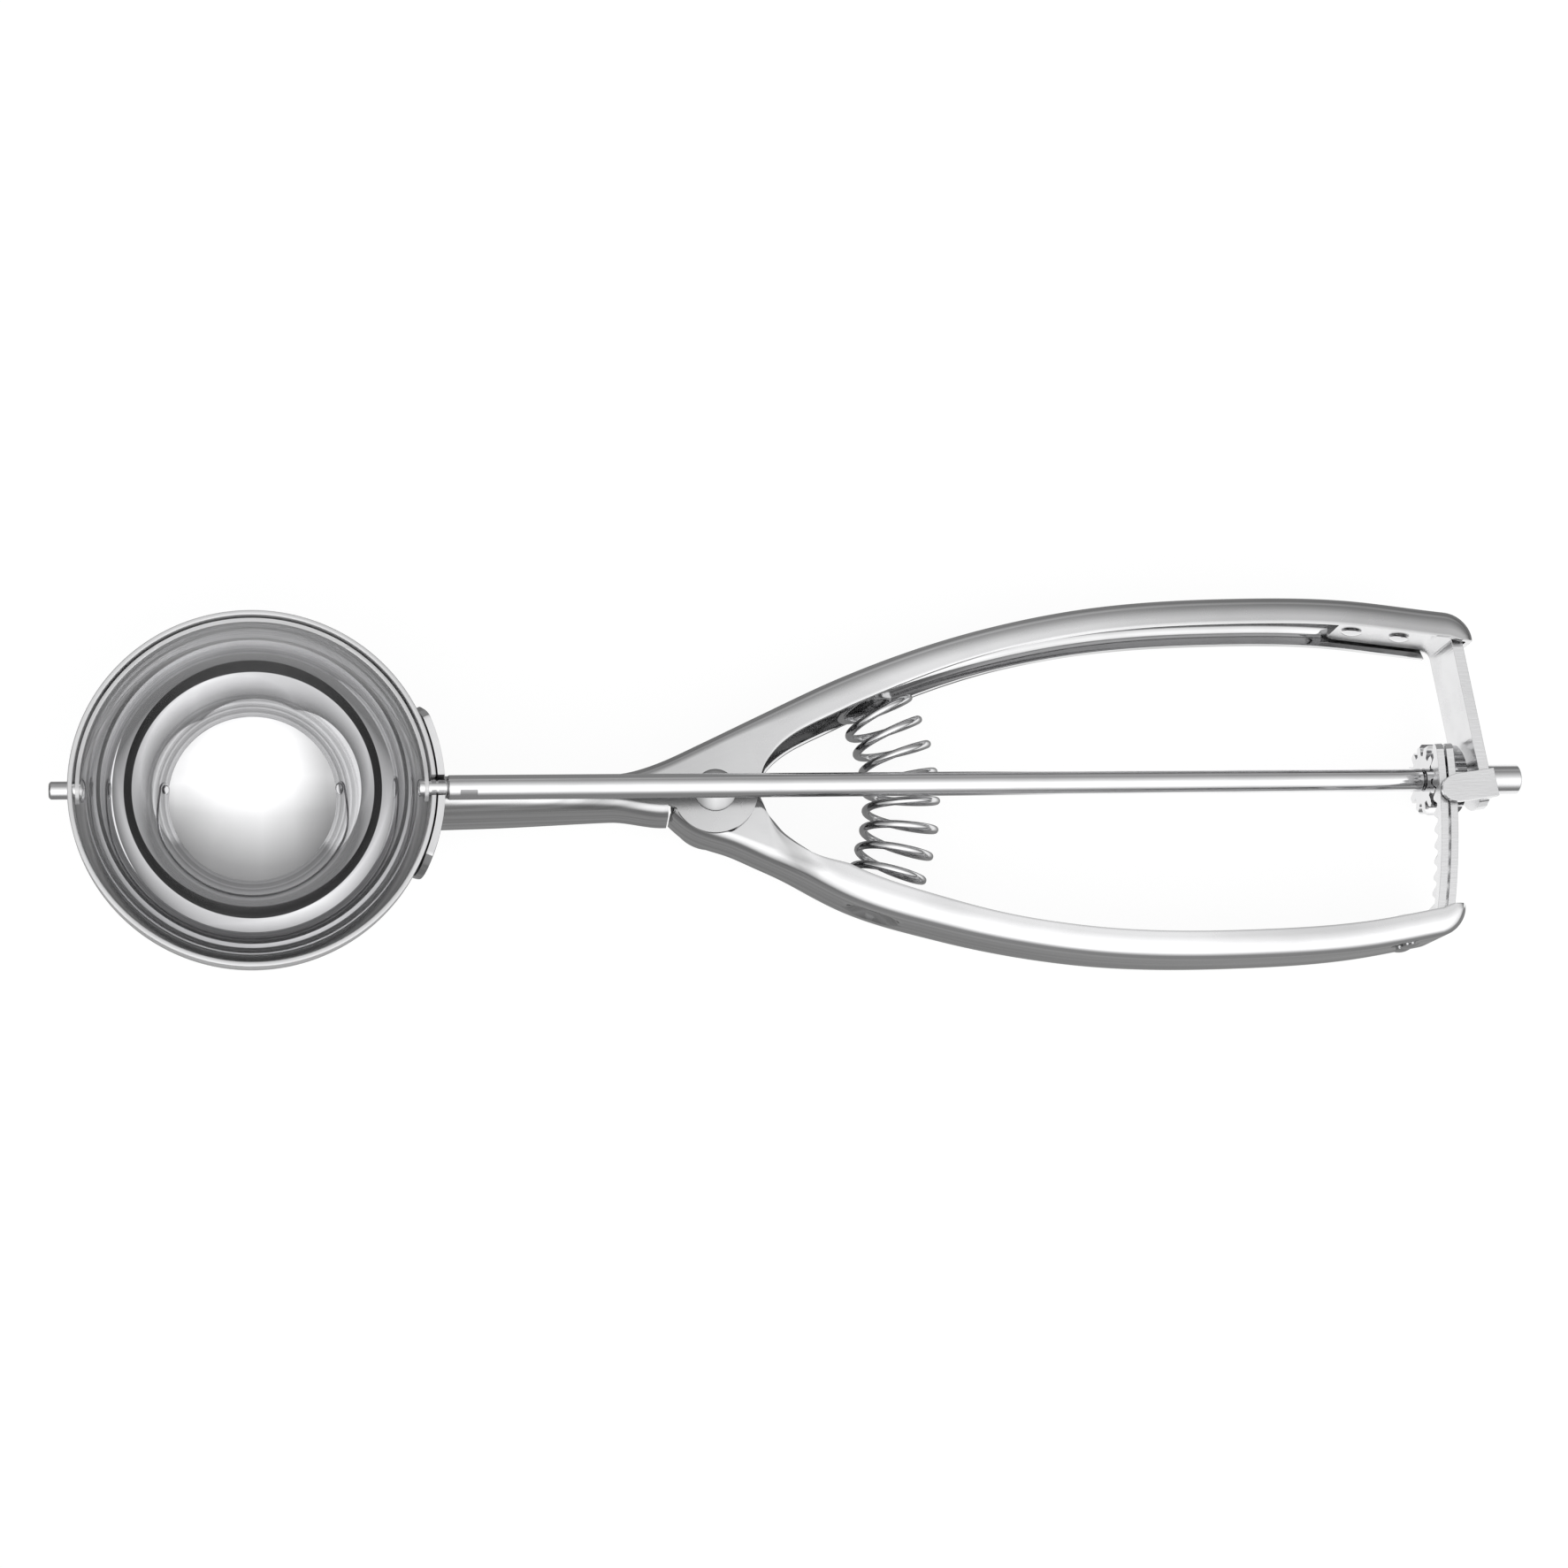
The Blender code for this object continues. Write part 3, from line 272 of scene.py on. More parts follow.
class Bench:
    """Blender's modelling operators, used on one piece at a time."""

    @staticmethod
    def take(name: str) -> bpy.types.Object:
        """Names the primitive that was just added and leaves it untransformed at the origin.

        Args:
            name: The piece's name.

        Returns:
            The piece.
        """
        obj = bpy.context.active_object
        obj.name = name
        obj.data.name = name
        bpy.ops.object.transform_apply(location=True, rotation=True, scale=True)
        return obj

    @staticmethod
    def clear() -> None:
        """Deselects everything."""
        bpy.ops.object.select_all(action="DESELECT")

    @staticmethod
    def choose(obj: bpy.types.Object) -> None:
        """Selects one piece alone and makes it the active one.

        Args:
            obj: The piece.
        """
        Bench.clear()
        obj.select_set(True)
        bpy.context.view_layer.objects.active = obj

    @staticmethod
    @contextmanager
    def editing(obj: bpy.types.Object, mode: str = "VERT") -> Iterator[bmesh.types.BMesh]:
        """Edit mode on one piece, with everything in it selected.

        Args:
            obj: The piece.
            mode: VERT, EDGE or FACE.

        Yields:
            The mesh that is edited, for picking parts of it by their place.
        """
        Bench.choose(obj)
        bpy.ops.object.mode_set(mode="EDIT")
        bpy.ops.mesh.select_mode(type=mode)
        bpy.ops.mesh.select_all(action="SELECT")
        try:
            yield bmesh.from_edit_mesh(obj.data)
        finally:
            bpy.ops.object.mode_set(mode="OBJECT")

    @staticmethod
    def pick(obj: bpy.types.Object, faces: Callable[[Vector], bool]) -> None:
        """Selects the faces whose centres pass a test, in edit mode.

        Args:
            obj: The piece in edit mode.
            faces: The test on a face's centre.
        """
        mesh = bmesh.from_edit_mesh(obj.data)
        for face in mesh.faces:
            face.select_set(faces(face.calc_center_median()))
        bmesh.update_edit_mesh(obj.data)

    @staticmethod
    def modify(obj: bpy.types.Object, kind: str, **settings: object) -> None:
        """Adds a modifier with its settings and applies it.

        Args:
            obj: The piece.
            kind: The modifier's type.
            **settings: Its properties.
        """
        mod = obj.modifiers.new(kind.title(), kind)
        for key, value in settings.items():
            setattr(mod, key, value)
        Bench.choose(obj)
        bpy.ops.object.modifier_apply(modifier=mod.name)

    @staticmethod
    def cut(obj: bpy.types.Object, tool: bpy.types.Object, operation: str = "DIFFERENCE") -> None:
        """Cuts a piece with a tool, or joins the tool to it, and removes the tool."""
        Bench.modify(obj, "BOOLEAN", operation=operation, solver="EXACT", object=tool)
        bpy.data.objects.remove(tool)

    @staticmethod
    def round_edges(obj: bpy.types.Object, width: float, segments: int = 3,
                    angle: float = 40.0) -> None:
        """Rounds a piece's sharp edges."""
        Bench.modify(obj, "BEVEL", width=width, segments=segments, limit_method="ANGLE",
                     angle_limit=math.radians(angle), miter_outer="MITER_ARC")

    @staticmethod
    def finish(obj: bpy.types.Object, angle: float = 35.0) -> None:
        """Shades a piece smooth up to an angle, with its flats kept flat.

        Args:
            obj: The piece.
            angle: The sharpest edge that is still smooth, in degrees.
        """
        Bench.choose(obj)
        bpy.ops.object.shade_smooth_by_angle(angle=math.radians(angle))
        Bench.modify(obj, "WEIGHTED_NORMAL", keep_sharp=True, weight=60)

    @staticmethod
    def turned(name: str, profile: Sequence[Plan], start: Vector, along: Vector,
               steps: int = 96) -> bpy.types.Object:
        """Draws a profile point by point and spins it round its axis.

        Args:
            name: The piece's name.
            profile: (distance along the axis, radius) pairs, from the axis and back to it.
            start: Where the distance is 0.
            along: The axis.
            steps: The number of steps of the spin.

        Returns:
            The turned piece.
        """
        along = along.normalized()
        side = along.orthogonal().normalized()
        Bench.clear()
        bpy.ops.mesh.primitive_plane_add(size=MM)
        obj = Bench.take(name)
        with Bench.editing(obj):
            bpy.ops.mesh.merge(type="CENTER")
            first = start + along * profile[0][0] + side * profile[0][1]
            bpy.ops.transform.translate(value=first)
            for (a, r), (b, s) in zip(profile, profile[1:]):
                step = along * (b - a) + side * (s - r)
                bpy.ops.mesh.extrude_region_move(TRANSFORM_OT_translate={"value": step})
            bpy.ops.mesh.select_all(action="SELECT")
            bpy.ops.mesh.spin(steps=steps, angle=2 * math.pi, center=start, axis=along)
            bpy.ops.mesh.select_all(action="SELECT")
            bpy.ops.mesh.remove_doubles(threshold=2 * MERGE)
            bpy.ops.mesh.normals_make_consistent(inside=False)
        return obj

    @staticmethod
    def rod(name: str, start: Vector, end: Vector, radius: float,
            sides: int = 48) -> bpy.types.Object:
        """A plain round bar between two points, for use as a cutter.

        Args:
            name: The bar's name.
            start: The middle of one end.
            end: The middle of the other.
            radius: Its radius.
            sides: How many sides it has.

        Returns:
            The bar.
        """
        way = end - start
        turn = way.to_track_quat("Z", "Y").to_euler()
        Bench.clear()
        bpy.ops.mesh.primitive_cylinder_add(vertices=sides, radius=radius, depth=way.length,
                                            location=(start + end) / 2, rotation=turn)
        return Bench.take(name)

    @staticmethod
    def block(name: str, centre: Vector, size: Sequence[float], turn: Matrix) -> bpy.types.Object:
        """A plain block, for use as a cutter.

        Args:
            name: The block's name.
            centre: Its middle.
            size: Its three lengths.
            turn: How it is turned.

        Returns:
            The block.
        """
        Bench.clear()
        bpy.ops.mesh.primitive_cube_add(size=1.0, location=centre, rotation=turn.to_euler(),
                                        scale=size)
        return Bench.take(name)

    @staticmethod
    def prism(name: str, outline: Sequence[Vector], way: Vector) -> bpy.types.Object:
        """A flat outline carried along a straight way.

        Args:
            name: The piece's name.
            outline: The outline's corners.
            way: How far it is carried, and where to.

        Returns:
            The prism.
        """
        Bench.clear()
        bpy.ops.mesh.primitive_circle_add(vertices=len(outline), radius=1.0, fill_type="NGON")
        obj = Bench.take(name)
        for vertex, corner in zip(obj.data.vertices, outline):
            vertex.co = corner
        with Bench.editing(obj, "FACE"):
            bpy.ops.mesh.extrude_region_move(TRANSFORM_OT_translate={"value": way})
            bpy.ops.mesh.select_all(action="SELECT")
            bpy.ops.mesh.normals_make_consistent(inside=False)
        return obj

    @staticmethod
    def sheet(name: str, rows: Sequence[Sequence[Vector]], thickness: float, edge: float,
              flip: bool = False,
              missing: Callable[[int, int], bool] | None = None) -> bpy.types.Object:
        """Presses a flat grid into a bent sheet and gives it its thickness.

        Args:
            name: The piece's name.
            rows: Points of the outer face, in rows of one length.
            thickness: The sheet's thickness, inwards.
            edge: The radius of its rounded edges.
            flip: True if the rows run the other way round.
            missing: Says which cells, by row and column, hold no metal.

        Returns:
            The sheet.
        """
        down, across = len(rows) - 1, len(rows[0]) - 1
        Bench.clear()
        bpy.ops.mesh.primitive_grid_add(x_subdivisions=across, y_subdivisions=down, size=1.0)
        obj = Bench.take(name)
        if missing:
            with Bench.editing(obj, "FACE"):
                Bench.pick(obj, lambda c: missing(int((c.y + 0.5) * down),
                                                  int((c.x + 0.5) * across)))
                bpy.ops.mesh.delete(type="FACE")
        for vertex in obj.data.vertices:
            row = round((vertex.co.y + 0.5) * down)
            vertex.co = rows[row][round((vertex.co.x + 0.5) * across)]
        if flip:
            with Bench.editing(obj, "FACE"):
                bpy.ops.mesh.flip_normals()
        Bench.modify(obj, "SOLIDIFY", thickness=thickness, offset=-1.0, use_even_offset=True)
        Bench.round_edges(obj, edge, segments=2, angle=55.0)
        return obj


# Materials


class Sock:
    """A node's output, with arithmetic that adds Math nodes."""

    def __init__(self, graph: "Graph", socket: bpy.types.NodeSocket) -> None:
        """Wraps a socket of a graph."""
        self.graph = graph
        self.socket = socket

    def math(self, operation: str, other: Value = 0.0, swap: bool = False) -> "Sock":
        """A Math node on this value and another."""
        pair = (other, self) if swap else (self, other)
        return self.graph.node("ShaderNodeMath", {"operation": operation}, dict(enumerate(pair)))

    def __add__(self, other: Value) -> "Sock":
        """This value plus another."""
        return self.math("ADD", other)

    def __sub__(self, other: Value) -> "Sock":
        """This value less another."""
        return self.math("SUBTRACT", other)

    def __rsub__(self, other: Value) -> "Sock":
        """Another value less this one."""
        return self.math("SUBTRACT", other, swap=True)

    def __mul__(self, other: Value) -> "Sock":
        """This value times another."""
        return self.math("MULTIPLY", other)

    def __truediv__(self, other: Value) -> "Sock":
        """This value over another."""
        return self.math("DIVIDE", other)

    def __pow__(self, other: Value) -> "Sock":
        """This value to a power."""
        return self.math("POWER", other)

    __radd__ = __add__
    __rmul__ = __mul__

    def step(self, low: float, high: float) -> "Sock":
        """Eases from 0 at low to 1 at high."""
        return self.graph.node("ShaderNodeMapRange", {"interpolation_type": "SMOOTHSTEP"},
                               {"Value": self, "From Min": low, "From Max": high})


class Graph:
    """A node tree that is built by method calls."""

    def __init__(self, tree: bpy.types.NodeTree) -> None:
        """Empties a tree and takes it over."""
        self.tree = tree
        tree.nodes.clear()

    def node(self, kind: str, settings: dict | None = None, inputs: dict | None = None,
             output: int | str = 0) -> Sock:
        """Adds a node.

        Args:
            kind: The node's type.
            settings: Its properties, and a ramp's stops.
            inputs: Values or links by socket name or number.
            output: Which output is returned.

        Returns:
            The chosen output.
        """
        made = self.tree.nodes.new(kind)
        for key, value in (settings or {}).items():
            if key == "stops":
                self._stops(made.color_ramp, value)
            else:
                setattr(made, key, value)
        for key, value in (inputs or {}).items():
            if isinstance(value, Sock):
                self.tree.links.new(value.socket, made.inputs[key])
            else:
                made.inputs[key].default_value = value
        return Sock(self, made.outputs[output]) if made.outputs else Sock(self, None)

    @staticmethod
    def _stops(ramp: bpy.types.ColorRamp, stops: Sequence[tuple[float, float]]) -> None:
        """Sets a ramp's grey stops.

        Args:
            ramp: The ramp.
            stops: (place, grey) pairs, places rising.
        """
        while len(ramp.elements) < len(stops):
            ramp.elements.new(1.0)
        for element, (place, grey) in zip(ramp.elements, stops):
            element.position = place
            element.color = (grey, grey, grey, 1.0)

    def dot(self, at: Sock, way: Sequence[float]) -> Sock:
        """How far a vector goes in one direction."""
        return self.node("ShaderNodeVectorMath", {"operation": "DOT_PRODUCT"},
                         {0: at, 1: tuple(way)}, "Value")

    def noise(self, at: Sock, stretch: Sequence[float], detail: float = 2.0) -> Sock:
        """Adds noise.

        Args:
            at: Where it is read.
            stretch: Its frequency along X, Y and Z, per metre.
            detail: How fine it gets.

        Returns:
            The noise.
        """
        spot = self.node("ShaderNodeMapping", None, {"Vector": at, "Scale": tuple(stretch)})
        return self.node("ShaderNodeTexNoise", None,
                         {"Vector": spot, "Scale": 1.0, "Detail": detail}, "Fac")


@dataclass(frozen=True)
class Finish:
    """How one kind of steel looks. Heights count from the bowl's centre towards its mouth.

    Attributes:
        colour: Its base colour.
        roughness: Its least roughness.
        haze: How much rougher its cloudy patches are.
        lines: Frequencies along X, Y and Z of the fine lines in it, per metre.
        depth: How deep the lines are, in metres.
        satin: How much rougher the faces near the levers' top plane are.
        rings: How deep the polishing rings near the bowl's rim are, in metres.
        rim: How much rougher the bowl is at its rim.
        scuff: How much of the bowl's upper half no longer mirrors.
        dull: How much less the bowl's rim mirrors than that.
        streak: How much darker the streaks along the levers are.
        clouds: How many cloudy patches there are to the metre.
        cloud_edge: Between which values of the noise a patch sets in.
        tint: How much bluer than grey it is.
        soiled: A worn place's colour, as a share of the clean one's.
        rim_zone: Between which heights the polishing rings set in.
        scuff_zone: Between which heights the scuffing sets in.
        ring_pitch: How many polishing rings there are to the metre.
        ring_edge: Between which values of the noise a ring darkens.
        ring_marks: How much darker the deepest rings are.
        rim_painted_light: Painted light: how much brighter the colour is near the rim.
        streaks: Frequencies along X, Y and Z of the streaks, per metre.
        streak_edge: Between which values of the noise a streak darkens.
        satin_zone: How far below the top plane the satin sets in and is full.
    """

    colour: float
    roughness: float
    haze: float
    lines: tuple[float, float, float]
    depth: float
    satin: float = 0.0
    rings: float = 0.0
    rim: float = 0.0
    scuff: float = 0.0
    dull: float = 0.0
    streak: float = 0.0
    clouds: float = 90.0
    cloud_edge: Plan = (0.35, 0.75)
    tint: float = 1.01
    soiled: float = 0.3
    rim_zone: Plan = (-10.5 * MM, -7.5 * MM)
    scuff_zone: Plan = (-17 * MM, -10 * MM)
    ring_pitch: float = 460.0
    ring_edge: Plan = (0.42, 0.58)
    ring_marks: float = 0.45
    rim_painted_light: float = 0.18
    streaks: tuple[float, float, float] = (7.0, 7.0, 420.0)
    streak_edge: Plan = (0.32, 0.68)
    satin_zone: Plan = (0.55 * MM, 0.05 * MM)

    def material(self, name: str) -> bpy.types.Material:
        """Builds the finish's material.

        Args:
            name: The material's name.

        Returns:
            The material.
        """
        made = bpy.data.materials.new(name)
        made.use_nodes = True
        graph = Graph(made.node_tree)
        at = graph.node("ShaderNodeTexCoord", None, None, "Object")
        cloud = graph.noise(at, (self.clouds,) * 3, 3.0).step(*self.cloud_edge)
        lines = graph.noise(at, self.lines, 2.0)
        roughness = self.roughness + self.haze * cloud + 0.25 * self.haze * lines
        relief = lines * self.depth
        worn = 0.12 * cloud * lines
        metal = 1.0 - 0.02 * cloud
        clean = self.colour - 0.01 * cloud
        if self.satin:
            height = graph.node("ShaderNodeSeparateXYZ", None, {0: at}, "Z")
            top = height.step(*(PLACE.high - below for below in self.satin_zone))
            roughness = roughness + self.satin * top
        if self.rings:
            up = graph.dot(at, PLACE.mouth) - PLACE.bowl.dot(PLACE.mouth)
            place = graph.node("ShaderNodeCombineXYZ", None, {"Z": up})
            near = up.step(*self.rim_zone)
            ring = graph.noise(place, (1.0, 1.0, self.ring_pitch), 2.0)
            share = 0.6 + 0.8 * ring
            relief = relief + ring * near * self.rings
            roughness = roughness + self.rim * near * share
            metal = metal - self.dull * near * share
            worn = worn + near * ring.step(*self.ring_edge) * self.ring_marks
            # Painted light: near the rim the colour is raised, so that the rim zone reads lighter
            # than the steel's own colour.
            clean = clean + self.rim_painted_light * near
            metal = metal - self.scuff * up.step(*self.scuff_zone) * (0.5 + ring)
        if self.streak:
            streaks = graph.noise(at, self.streaks, 3.0).step(*self.streak_edge)
            worn = worn + self.streak * streaks
        colour = graph.node("ShaderNodeCombineColor", None,
                            {0: clean, 1: clean, 2: clean * self.tint})
        dark = self.soiled * self.colour
        shade = graph.node("ShaderNodeMix", {"data_type": "RGBA"},
                           {"Factor": worn, 6: colour, 7: (dark, dark, dark, 1.0)}, 2)
        bump = graph.node("ShaderNodeBump", None,
                          {"Strength": 1.0, "Distance": 1.0, "Height": relief}, "Normal")
        shader = graph.node("ShaderNodeBsdfPrincipled", None, {
            "Base Color": shade, "Metallic": metal, "Roughness": roughness, "Normal": bump})
        graph.node("ShaderNodeOutputMaterial", None, {"Surface": shader})
        return made


FINISHES = {
    # Painted shade: the pivot rivet's steel is darker than the turned steel, so that its dome shows
    # shading instead of a white highlight.
    Steel.HEADED: Finish(colour=0.40, roughness=0.10, haze=0.06, lines=(900.0, 900.0, 900.0),
                         depth=0.0030 * MM),
    Steel.SPUN: Finish(colour=0.70, roughness=0.012, haze=0.012, lines=(120.0, 120.0, 120.0),
                       depth=0.0004 * MM, rings=0.0020 * MM, rim=0.04, scuff=0.20, dull=0.45),
    Steel.PRESSED: Finish(colour=0.68, roughness=0.05, haze=0.045, lines=(120.0, 900.0, 900.0),
                          depth=0.0016 * MM, satin=0.20, streak=0.7),
    Steel.DRAWN: Finish(colour=0.65, roughness=0.11, haze=0.06, lines=(60.0, 2600.0, 2600.0),
                        depth=0.0030 * MM),
    Steel.TURNED: Finish(colour=0.62, roughness=0.09, haze=0.07, lines=(2400.0, 500.0, 500.0),
                         depth=0.0030 * MM),
    Steel.SHEARED: Finish(colour=0.60, roughness=0.20, haze=0.12, lines=(500.0, 3600.0, 160.0),
                          depth=0.016 * MM),
    Steel.WIRE: Finish(colour=0.62, roughness=0.08, haze=0.10, lines=(700.0, 700.0, 700.0),
                       depth=0.0050 * MM),
}


class Dresser:
    """Gives pieces their finish and body, and reports them."""

    def __init__(self) -> None:
        """Builds every finish."""
        self.made = {kind: finish.material(f"{kind.value}_steel")
                     for kind, finish in FINISHES.items()}

    def dress(self, obj: bpy.types.Object, steel: Steel) -> None:
        """Puts one finish on a piece."""
        obj.data.materials.clear()
        obj.data.materials.append(self.made[steel])

    def place(self, obj: bpy.types.Object, steel: Steel, slot: Slot, node: str, body: Body) -> None:
        """Finishes a new piece that stands for a node and rides on a body.

        Args:
            obj: The piece.
            steel: Its finish.
            slot: Its material slot; not used.
            node: The node that it stands for.
            body: The body that it rides on.
        """
        self.dress(obj, steel)
        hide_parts(node)
        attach(obj, body.value)
        log.info("%s: %d faces, rides on %s", obj.name, len(obj.data.polygons), body.value)


# The bowl, its blade and the shaft


@dataclass
class Scooping:
    """The bowl, the scraper blade, the front pin and the shaft.

    Attributes:
        radius: The bowl's outer radius.
        sheet: The bowl's thickness.
        rim: The height of the straight rim above the half sphere.
        edge: The radius of the bowl's rounded edges.
        journal: The radius of the shaft's and the pin's journals.
        shaft: The radius of the shaft behind the bowl.
        fit: The play of a journal in its hole.
        blade_sheet: The blade's thickness.
        blade_clearance: The gap between the blade and the bowl.
        blade_drop: How far the blade reaches down from its axis.
        blade_lobe: The radius of the lobes round its eyes.
        blade_below_rim: How far its upper edge stays below the rim.
        blade_widens: Over which angles from an eye its upper and lower edges widen.
        blade_crowding: How strongly its rows crowd towards the eyes.
        blade_edge: The radius of its rounded edges.
        pin_head: The radius of the pin's head.
        pin_head_height: The head's height.
        pin_edge: The radius of the pin's rounded edges.
        shaft_inside: How far the shaft's end lies inside the blade.
        saddle_room: How far behind the bowl the shaft's shoulder stands.
        spigot: The radius of the spigot that the hub covers.
        spigot_length: The spigot's length.
        shaft_edge: The radius of the shaft's rounded edges.
        crimp_from_bowl: How far behind the bowl the crimp is.
        crimp_depth: How deep its flats are.
        crimps: The direction round the shaft, in degrees, and the length of each flat.
        chamfer: The journals' chamfer.
        slot_reach: How far the cutters reach past the bowl's sheet.
        eye_reach: How far the cutters reach past the blade's sheet.
        sphere_sides: How many sides the bowl's sphere has round its axis, and how many along it.
        rim_rows: How many rows of faces the rim has.
        slot_points: How many points round the slot's bottom.
        head_points: How many points along the pin head's curve.
        pin_sides: How many sides the pin has.
        shaft_sides: How many sides the shaft has.
        shaft_rings: How many rings of points along the shaft over the neck.
        lobe_rows: How many rows of points round a lobe.
        blade_rows: How many rows from an eye to the blade's middle.
        blade_columns: How many points across the blade.
    """

    radius: float = 28.0 * MM
    sheet: float = 0.75 * MM
    rim: float = 2.4 * MM
    edge: float = 0.16 * MM
    journal: float = 1.375 * MM
    shaft: float = 1.95 * MM
    fit: float = 0.25 * MM
    blade_sheet: float = 0.6 * MM
    blade_clearance: float = 0.35 * MM
    blade_drop: float = 6.2 * MM
    blade_lobe: float = 2.2 * MM
    blade_below_rim: float = 0.5 * MM
    blade_widens: Plan = (10.0, 34.0)
    blade_crowding: float = 1.35
    blade_edge: float = 0.10 * MM
    pin_head: float = 1.9 * MM
    pin_head_height: float = 0.75 * MM
    pin_edge: float = 0.08 * MM
    shaft_inside: float = 1.1 * MM
    saddle_room: float = 1.76 * MM
    spigot: float = 1.5 * MM
    spigot_length: float = 13.0 * MM
    shaft_edge: float = 0.10 * MM
    crimp_from_bowl: float = 5.1 * MM
    crimp_depth: float = 0.25 * MM
    crimps: tuple[Plan, ...] = ((50, 2.7 * MM), (220, 2.0 * MM))
    chamfer: float = 0.3 * MM
    slot_reach: float = 5 * MM
    eye_reach: float = 3 * MM
    sphere_sides: tuple[int, int] = (192, 128)
    rim_rows: int = 4
    slot_points: int = 25
    head_points: int = 10
    pin_sides: int = 64
    shaft_sides: int = 96
    shaft_rings: int = 8
    lobe_rows: int = 12
    blade_rows: int = 61
    blade_columns: int = 19

    @property
    def blade_outer(self) -> float:
        """The radius of the blade's outer face."""
        return self.radius - self.sheet - self.blade_clearance

    def notch(self, name: str) -> bpy.types.Object:
        """The cutter of the slot that the journal lies in, open at the rim.

        Args:
            name: The cutter's name.

        Returns:
            The cutter.
        """
        half, reach = self.journal + self.fit, self.slot_reach
        outline = [Vector((0, half * math.cos(a), 0)) + PLACE.mouth * (half * math.sin(a))
                   for a in spaced(math.pi, 2 * math.pi, self.slot_points)]
        outline += [Vector((0, half, 0)) + PLACE.mouth * 3 * self.rim,
                    Vector((0, -half, 0)) + PLACE.mouth * 3 * self.rim]
        start = PLACE.on_shaft(self.radius - reach)
        return Bench.prism(name, [start + p for p in outline], PLACE.axis * 2 * reach)

    def bowl(self, dresser: Dresser) -> None:
        """Builds the bowl from half a sphere with a straight rim.

        Args:
            dresser: Gives the bowl its finish.
        """
        tilt = math.atan2(PLACE.mouth.x, PLACE.mouth.z)
        around, along = self.sphere_sides
        Bench.clear()
        bpy.ops.mesh.primitive_uv_sphere_add(segments=around, ring_count=along, radius=self.radius,
                                             location=PLACE.bowl, rotation=(0, tilt, 0))
        obj = Bench.take("bowl_shell")

        def above(spot: Vector) -> float:
            """How far a point lies above the half sphere's edge."""
            return (spot - PLACE.bowl).dot(PLACE.mouth)

        with Bench.editing(obj, "FACE"):
            Bench.pick(obj, lambda c: above(c) > 0)
            bpy.ops.mesh.delete(type="FACE")
        with Bench.editing(obj, "EDGE") as mesh:
            bpy.ops.mesh.select_all(action="DESELECT")
            for edge in mesh.edges:
                if edge.is_boundary:
                    edge.select_set(True)
            for _ in range(self.rim_rows):
                bpy.ops.mesh.extrude_region_move(
                    TRANSFORM_OT_translate={"value": PLACE.mouth * self.rim / self.rim_rows})
        Bench.modify(obj, "SOLIDIFY", thickness=self.sheet, offset=-1.0, use_even_offset=True)
        Bench.round_edges(obj, self.edge)
        Bench.cut(obj, Bench.rod("pin_drill", PLACE.on_shaft(-self.radius - self.slot_reach),
                                 PLACE.on_shaft(-self.radius + self.slot_reach),
                                 self.journal + self.fit))
        Bench.cut(obj, self.notch("bowl_slot"))
        Bench.finish(obj, angle=40.0)
        dresser.place(obj, Steel.SPUN, Slot.POLISHED, "bowl", Body.FRAME)

    def blade(self, dresser: Dresser) -> None:
        """Builds the blade, a band of a sphere with an eye at each end.

        Args:
            dresser: Gives the blade its finish.
        """
        outer = self.blade_outer
        lobe = self.blade_lobe / outer
        half = [-lobe * math.cos(math.radians(a)) for a in spaced(3, 90, self.lobe_rows)]
        half += [math.radians(90) * (u ** self.blade_crowding)
                 for u in spaced(0, 1, self.blade_rows)[1:]]
        top = self.rim - self.blade_below_rim
        above, below = (math.radians(angle) for angle in self.blade_widens)
        rows = []
        for a in half + [math.pi - v for v in half[-2::-1]]:
            b = min(a, math.pi - a)
            if b < 0:
                high = math.sqrt(max(0.0, self.blade_lobe ** 2 - (b * outer) ** 2))
                low = -high
            else:
                high = mixed(self.blade_lobe, top, smooth_step(b / above))
                low = -mixed(self.blade_lobe, self.blade_drop, smooth_step(b / below))
            rows.append([PLACE.on_shaft(math.sqrt(outer ** 2 - n ** 2) * math.cos(a),
                                        math.sqrt(outer ** 2 - n ** 2) * math.sin(a), n)
                         for n in spaced(low, high, self.blade_columns)])
        obj = Bench.sheet("scraper_band", rows, self.blade_sheet, self.blade_edge, flip=True)
        for sign in (-1, 1):
            Bench.cut(obj, Bench.rod("eye_drill", PLACE.on_shaft(sign * (outer - self.eye_reach)),
                                     PLACE.on_shaft(sign * (outer + self.eye_reach)),
                                     self.journal + self.fit))
        Bench.finish(obj, angle=40.0)
        dresser.place(obj, Steel.SPUN, Slot.POLISHED, "scraper_blade", Body.SHAFT)

    def pin(self, dresser: Dresser) -> None:
        """Builds the pin that the blade's front end turns on.

        Args:
            dresser: Gives the pin its finish.
        """
        start = self.blade_outer - self.blade_sheet - GAP
        tip = (PLACE.bowl.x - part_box("front_pin")[0].x) / PLACE.axis.x
        tip = start - tip + (self.journal - self.chamfer) * abs(PLACE.axis.z) / PLACE.axis.x
        head = [(self.pin_head_height * math.sin(math.radians(a)),
                 self.pin_head * math.cos(math.radians(a)))
                for a in spaced(0, 90, self.head_points)]
        profile = [(tip, 0), (tip, self.journal - self.chamfer), (tip + self.chamfer, self.journal),
                   (0, self.journal)] + head[:-1] + [(self.pin_head_height, 0)]
        obj = Bench.turned("pivot_pin", profile, PLACE.on_shaft(-start), PLACE.axis,
                           self.pin_sides)
        Bench.round_edges(obj, self.pin_edge)
        Bench.finish(obj)
        dresser.place(obj, Steel.TURNED, Slot.POLISHED, "front_pin", Body.SHAFT)

